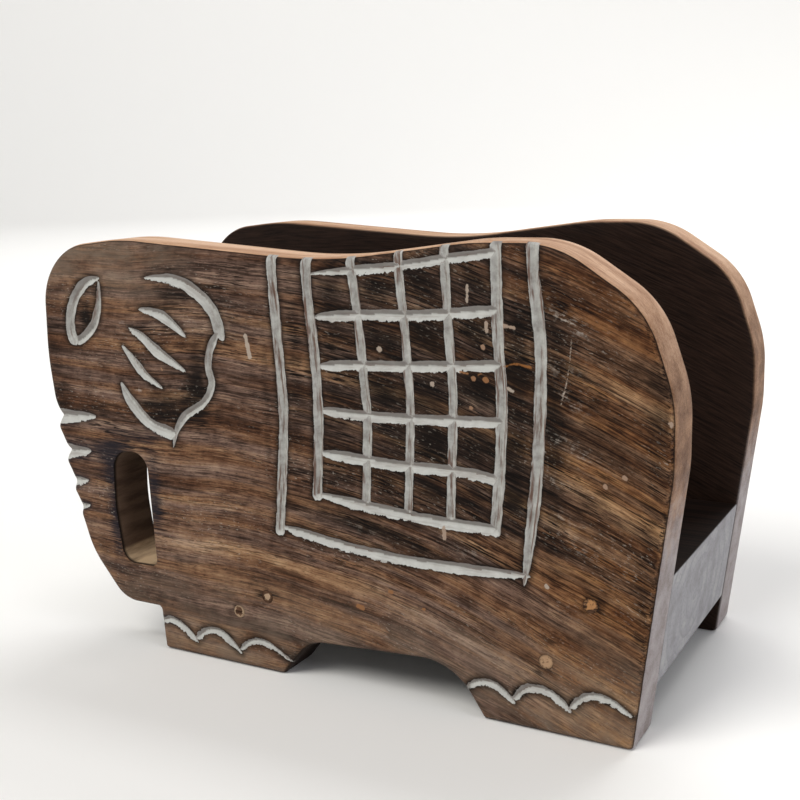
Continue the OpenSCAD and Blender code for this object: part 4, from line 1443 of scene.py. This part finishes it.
def make_nail_finish():
    """Drawn wire: bright metal with fine dark lines along the nail."""
    material, tree = new_material("plain_drawn_steel_wire")
    place = add(tree, "TexCoord", output=3)
    per_metre = [1 / (size * MM) for size in wire_line]
    along = add(tree, "Mapping", place, None, None, per_metre)
    lines = add(tree, "TexNoise", along, 1.0, 3.0, 0.6)
    finish = add(tree, "ValToRGB", lines, stops=[(0.35, "#6a6b70"), (0.65, "#9b9ca0")])
    rough = add(tree, "MapRange", lines, 0.3, 0.7, 0.45, 0.28)
    shader = add(tree, "BsdfPrincipled", {"Base Color": finish, "Metallic": 1.0,
                                          "Roughness": rough})
    add(tree, "OutputMaterial", shader)
    return material


def dress(names, material):
    """Gives carried-over CAD nodes a finish."""
    for name in names:
        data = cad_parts[name].data
        data.materials.clear()
        data.materials.append(material)
    print(material.name, "on", ", ".join(names))


dress(["base_block"], make_block_finish())
dress(["front_nails", "back_nails"], make_nail_finish())

# %% [markdown]
# ## Floor and light
# The holder stands on a plain pale floor that bends up far behind it on every side, like a
# photographer's sweep, so that no horizon shows. One broad lamp above and in front lights the
# lower wall of every cut and leaves the upper one in shade, as in the photograph. Weaker lamps
# at the side and behind keep the end and the pocket readable, and one lights the backdrop.

# %% Floor
def make_floor():
    """A dish, in metres: flat out to flat_r, then a quarter circle that rises by bend_r."""
    flat_r, bend_r = 2.4, 1.2
    turn = np.linspace(0, pi / 2, 24)[1:]
    radius = np.concatenate([np.linspace(0.02, flat_r, 12), flat_r + bend_r * np.sin(turn)])
    height = np.concatenate([np.zeros(12), bend_r * (1 - np.cos(turn))])
    n, rows = 96, len(radius)
    flat = radius[:, None, None] * heading(2 * pi * np.arange(n) / n)
    z = np.broadcast_to(height[:, None, None], (rows, n, 1))
    points = np.concatenate([np.concatenate([flat, z], axis=2).reshape(-1, 3), [[0, 0, 0]]]) / MM
    i, k = np.meshgrid(np.arange(n), np.arange(rows - 1))
    a, b = k * n + i, k * n + (i + 1) % n
    quads = np.stack([a, a + n, b + n, b], axis=2).reshape(-1, 4)
    hub = np.stack([np.full(n, n * rows), np.arange(n), (np.arange(n) + 1) % n], axis=1)
    floor = make_piece("floor", points, [quads, hub])
    material, tree = new_material("pale_matt_floor")
    shader = add(tree, "BsdfPrincipled", {"Base Color": "#f4f3f1", "Roughness": 0.9})
    add(tree, "OutputMaterial", shader)
    floor.data.materials.append(material)


make_floor()


# %% Lights
def add_lamp(name, place, target, size, power, tint):
    """A square area lamp at a place in metres, turned towards its target."""
    data = bpy.data.lights.new(name, "AREA")
    data.shape = "SQUARE"
    data.size = size
    data.energy = power
    data.color = colour(tint)[:3]
    lamp = bpy.data.objects.new(name, data)
    direction = Vector(target) - Vector(place)
    lamp.rotation_mode = "QUATERNION"
    lamp.rotation_quaternion = direction.to_track_quat("-Z", "Y")
    lamp.location = place
    bpy.context.scene.collection.objects.link(lamp)


middle = (0, 0, 0.05)
add_lamp("key", (-0.75, -1.7, 2.3), middle, 1.5, 52, "#fffdf8")
add_lamp("side", (2.0, -0.5, 1.1), middle, 1.2, 13, "#f4f6ff")
add_lamp("back", (0.3, 2.0, 1.9), middle, 1.6, 26, "#ffffff")
add_lamp("backdrop", (0.0, 1.0, 2.4), (0, 3.4, 0.4), 1.6, 42, "#ffffff")
print(f"{len(bpy.data.lights)} lamps")

# %% Surroundings
world = bpy.data.worlds.new("studio")
world.use_nodes = True
background = world.node_tree.nodes["Background"]
background.inputs["Color"].default_value = colour("#ffffff")
background.inputs["Strength"].default_value = 0.24
bpy.context.scene.world = world
bpy.context.scene.view_settings.view_transform = "Standard"
print("surroundings", world.name)
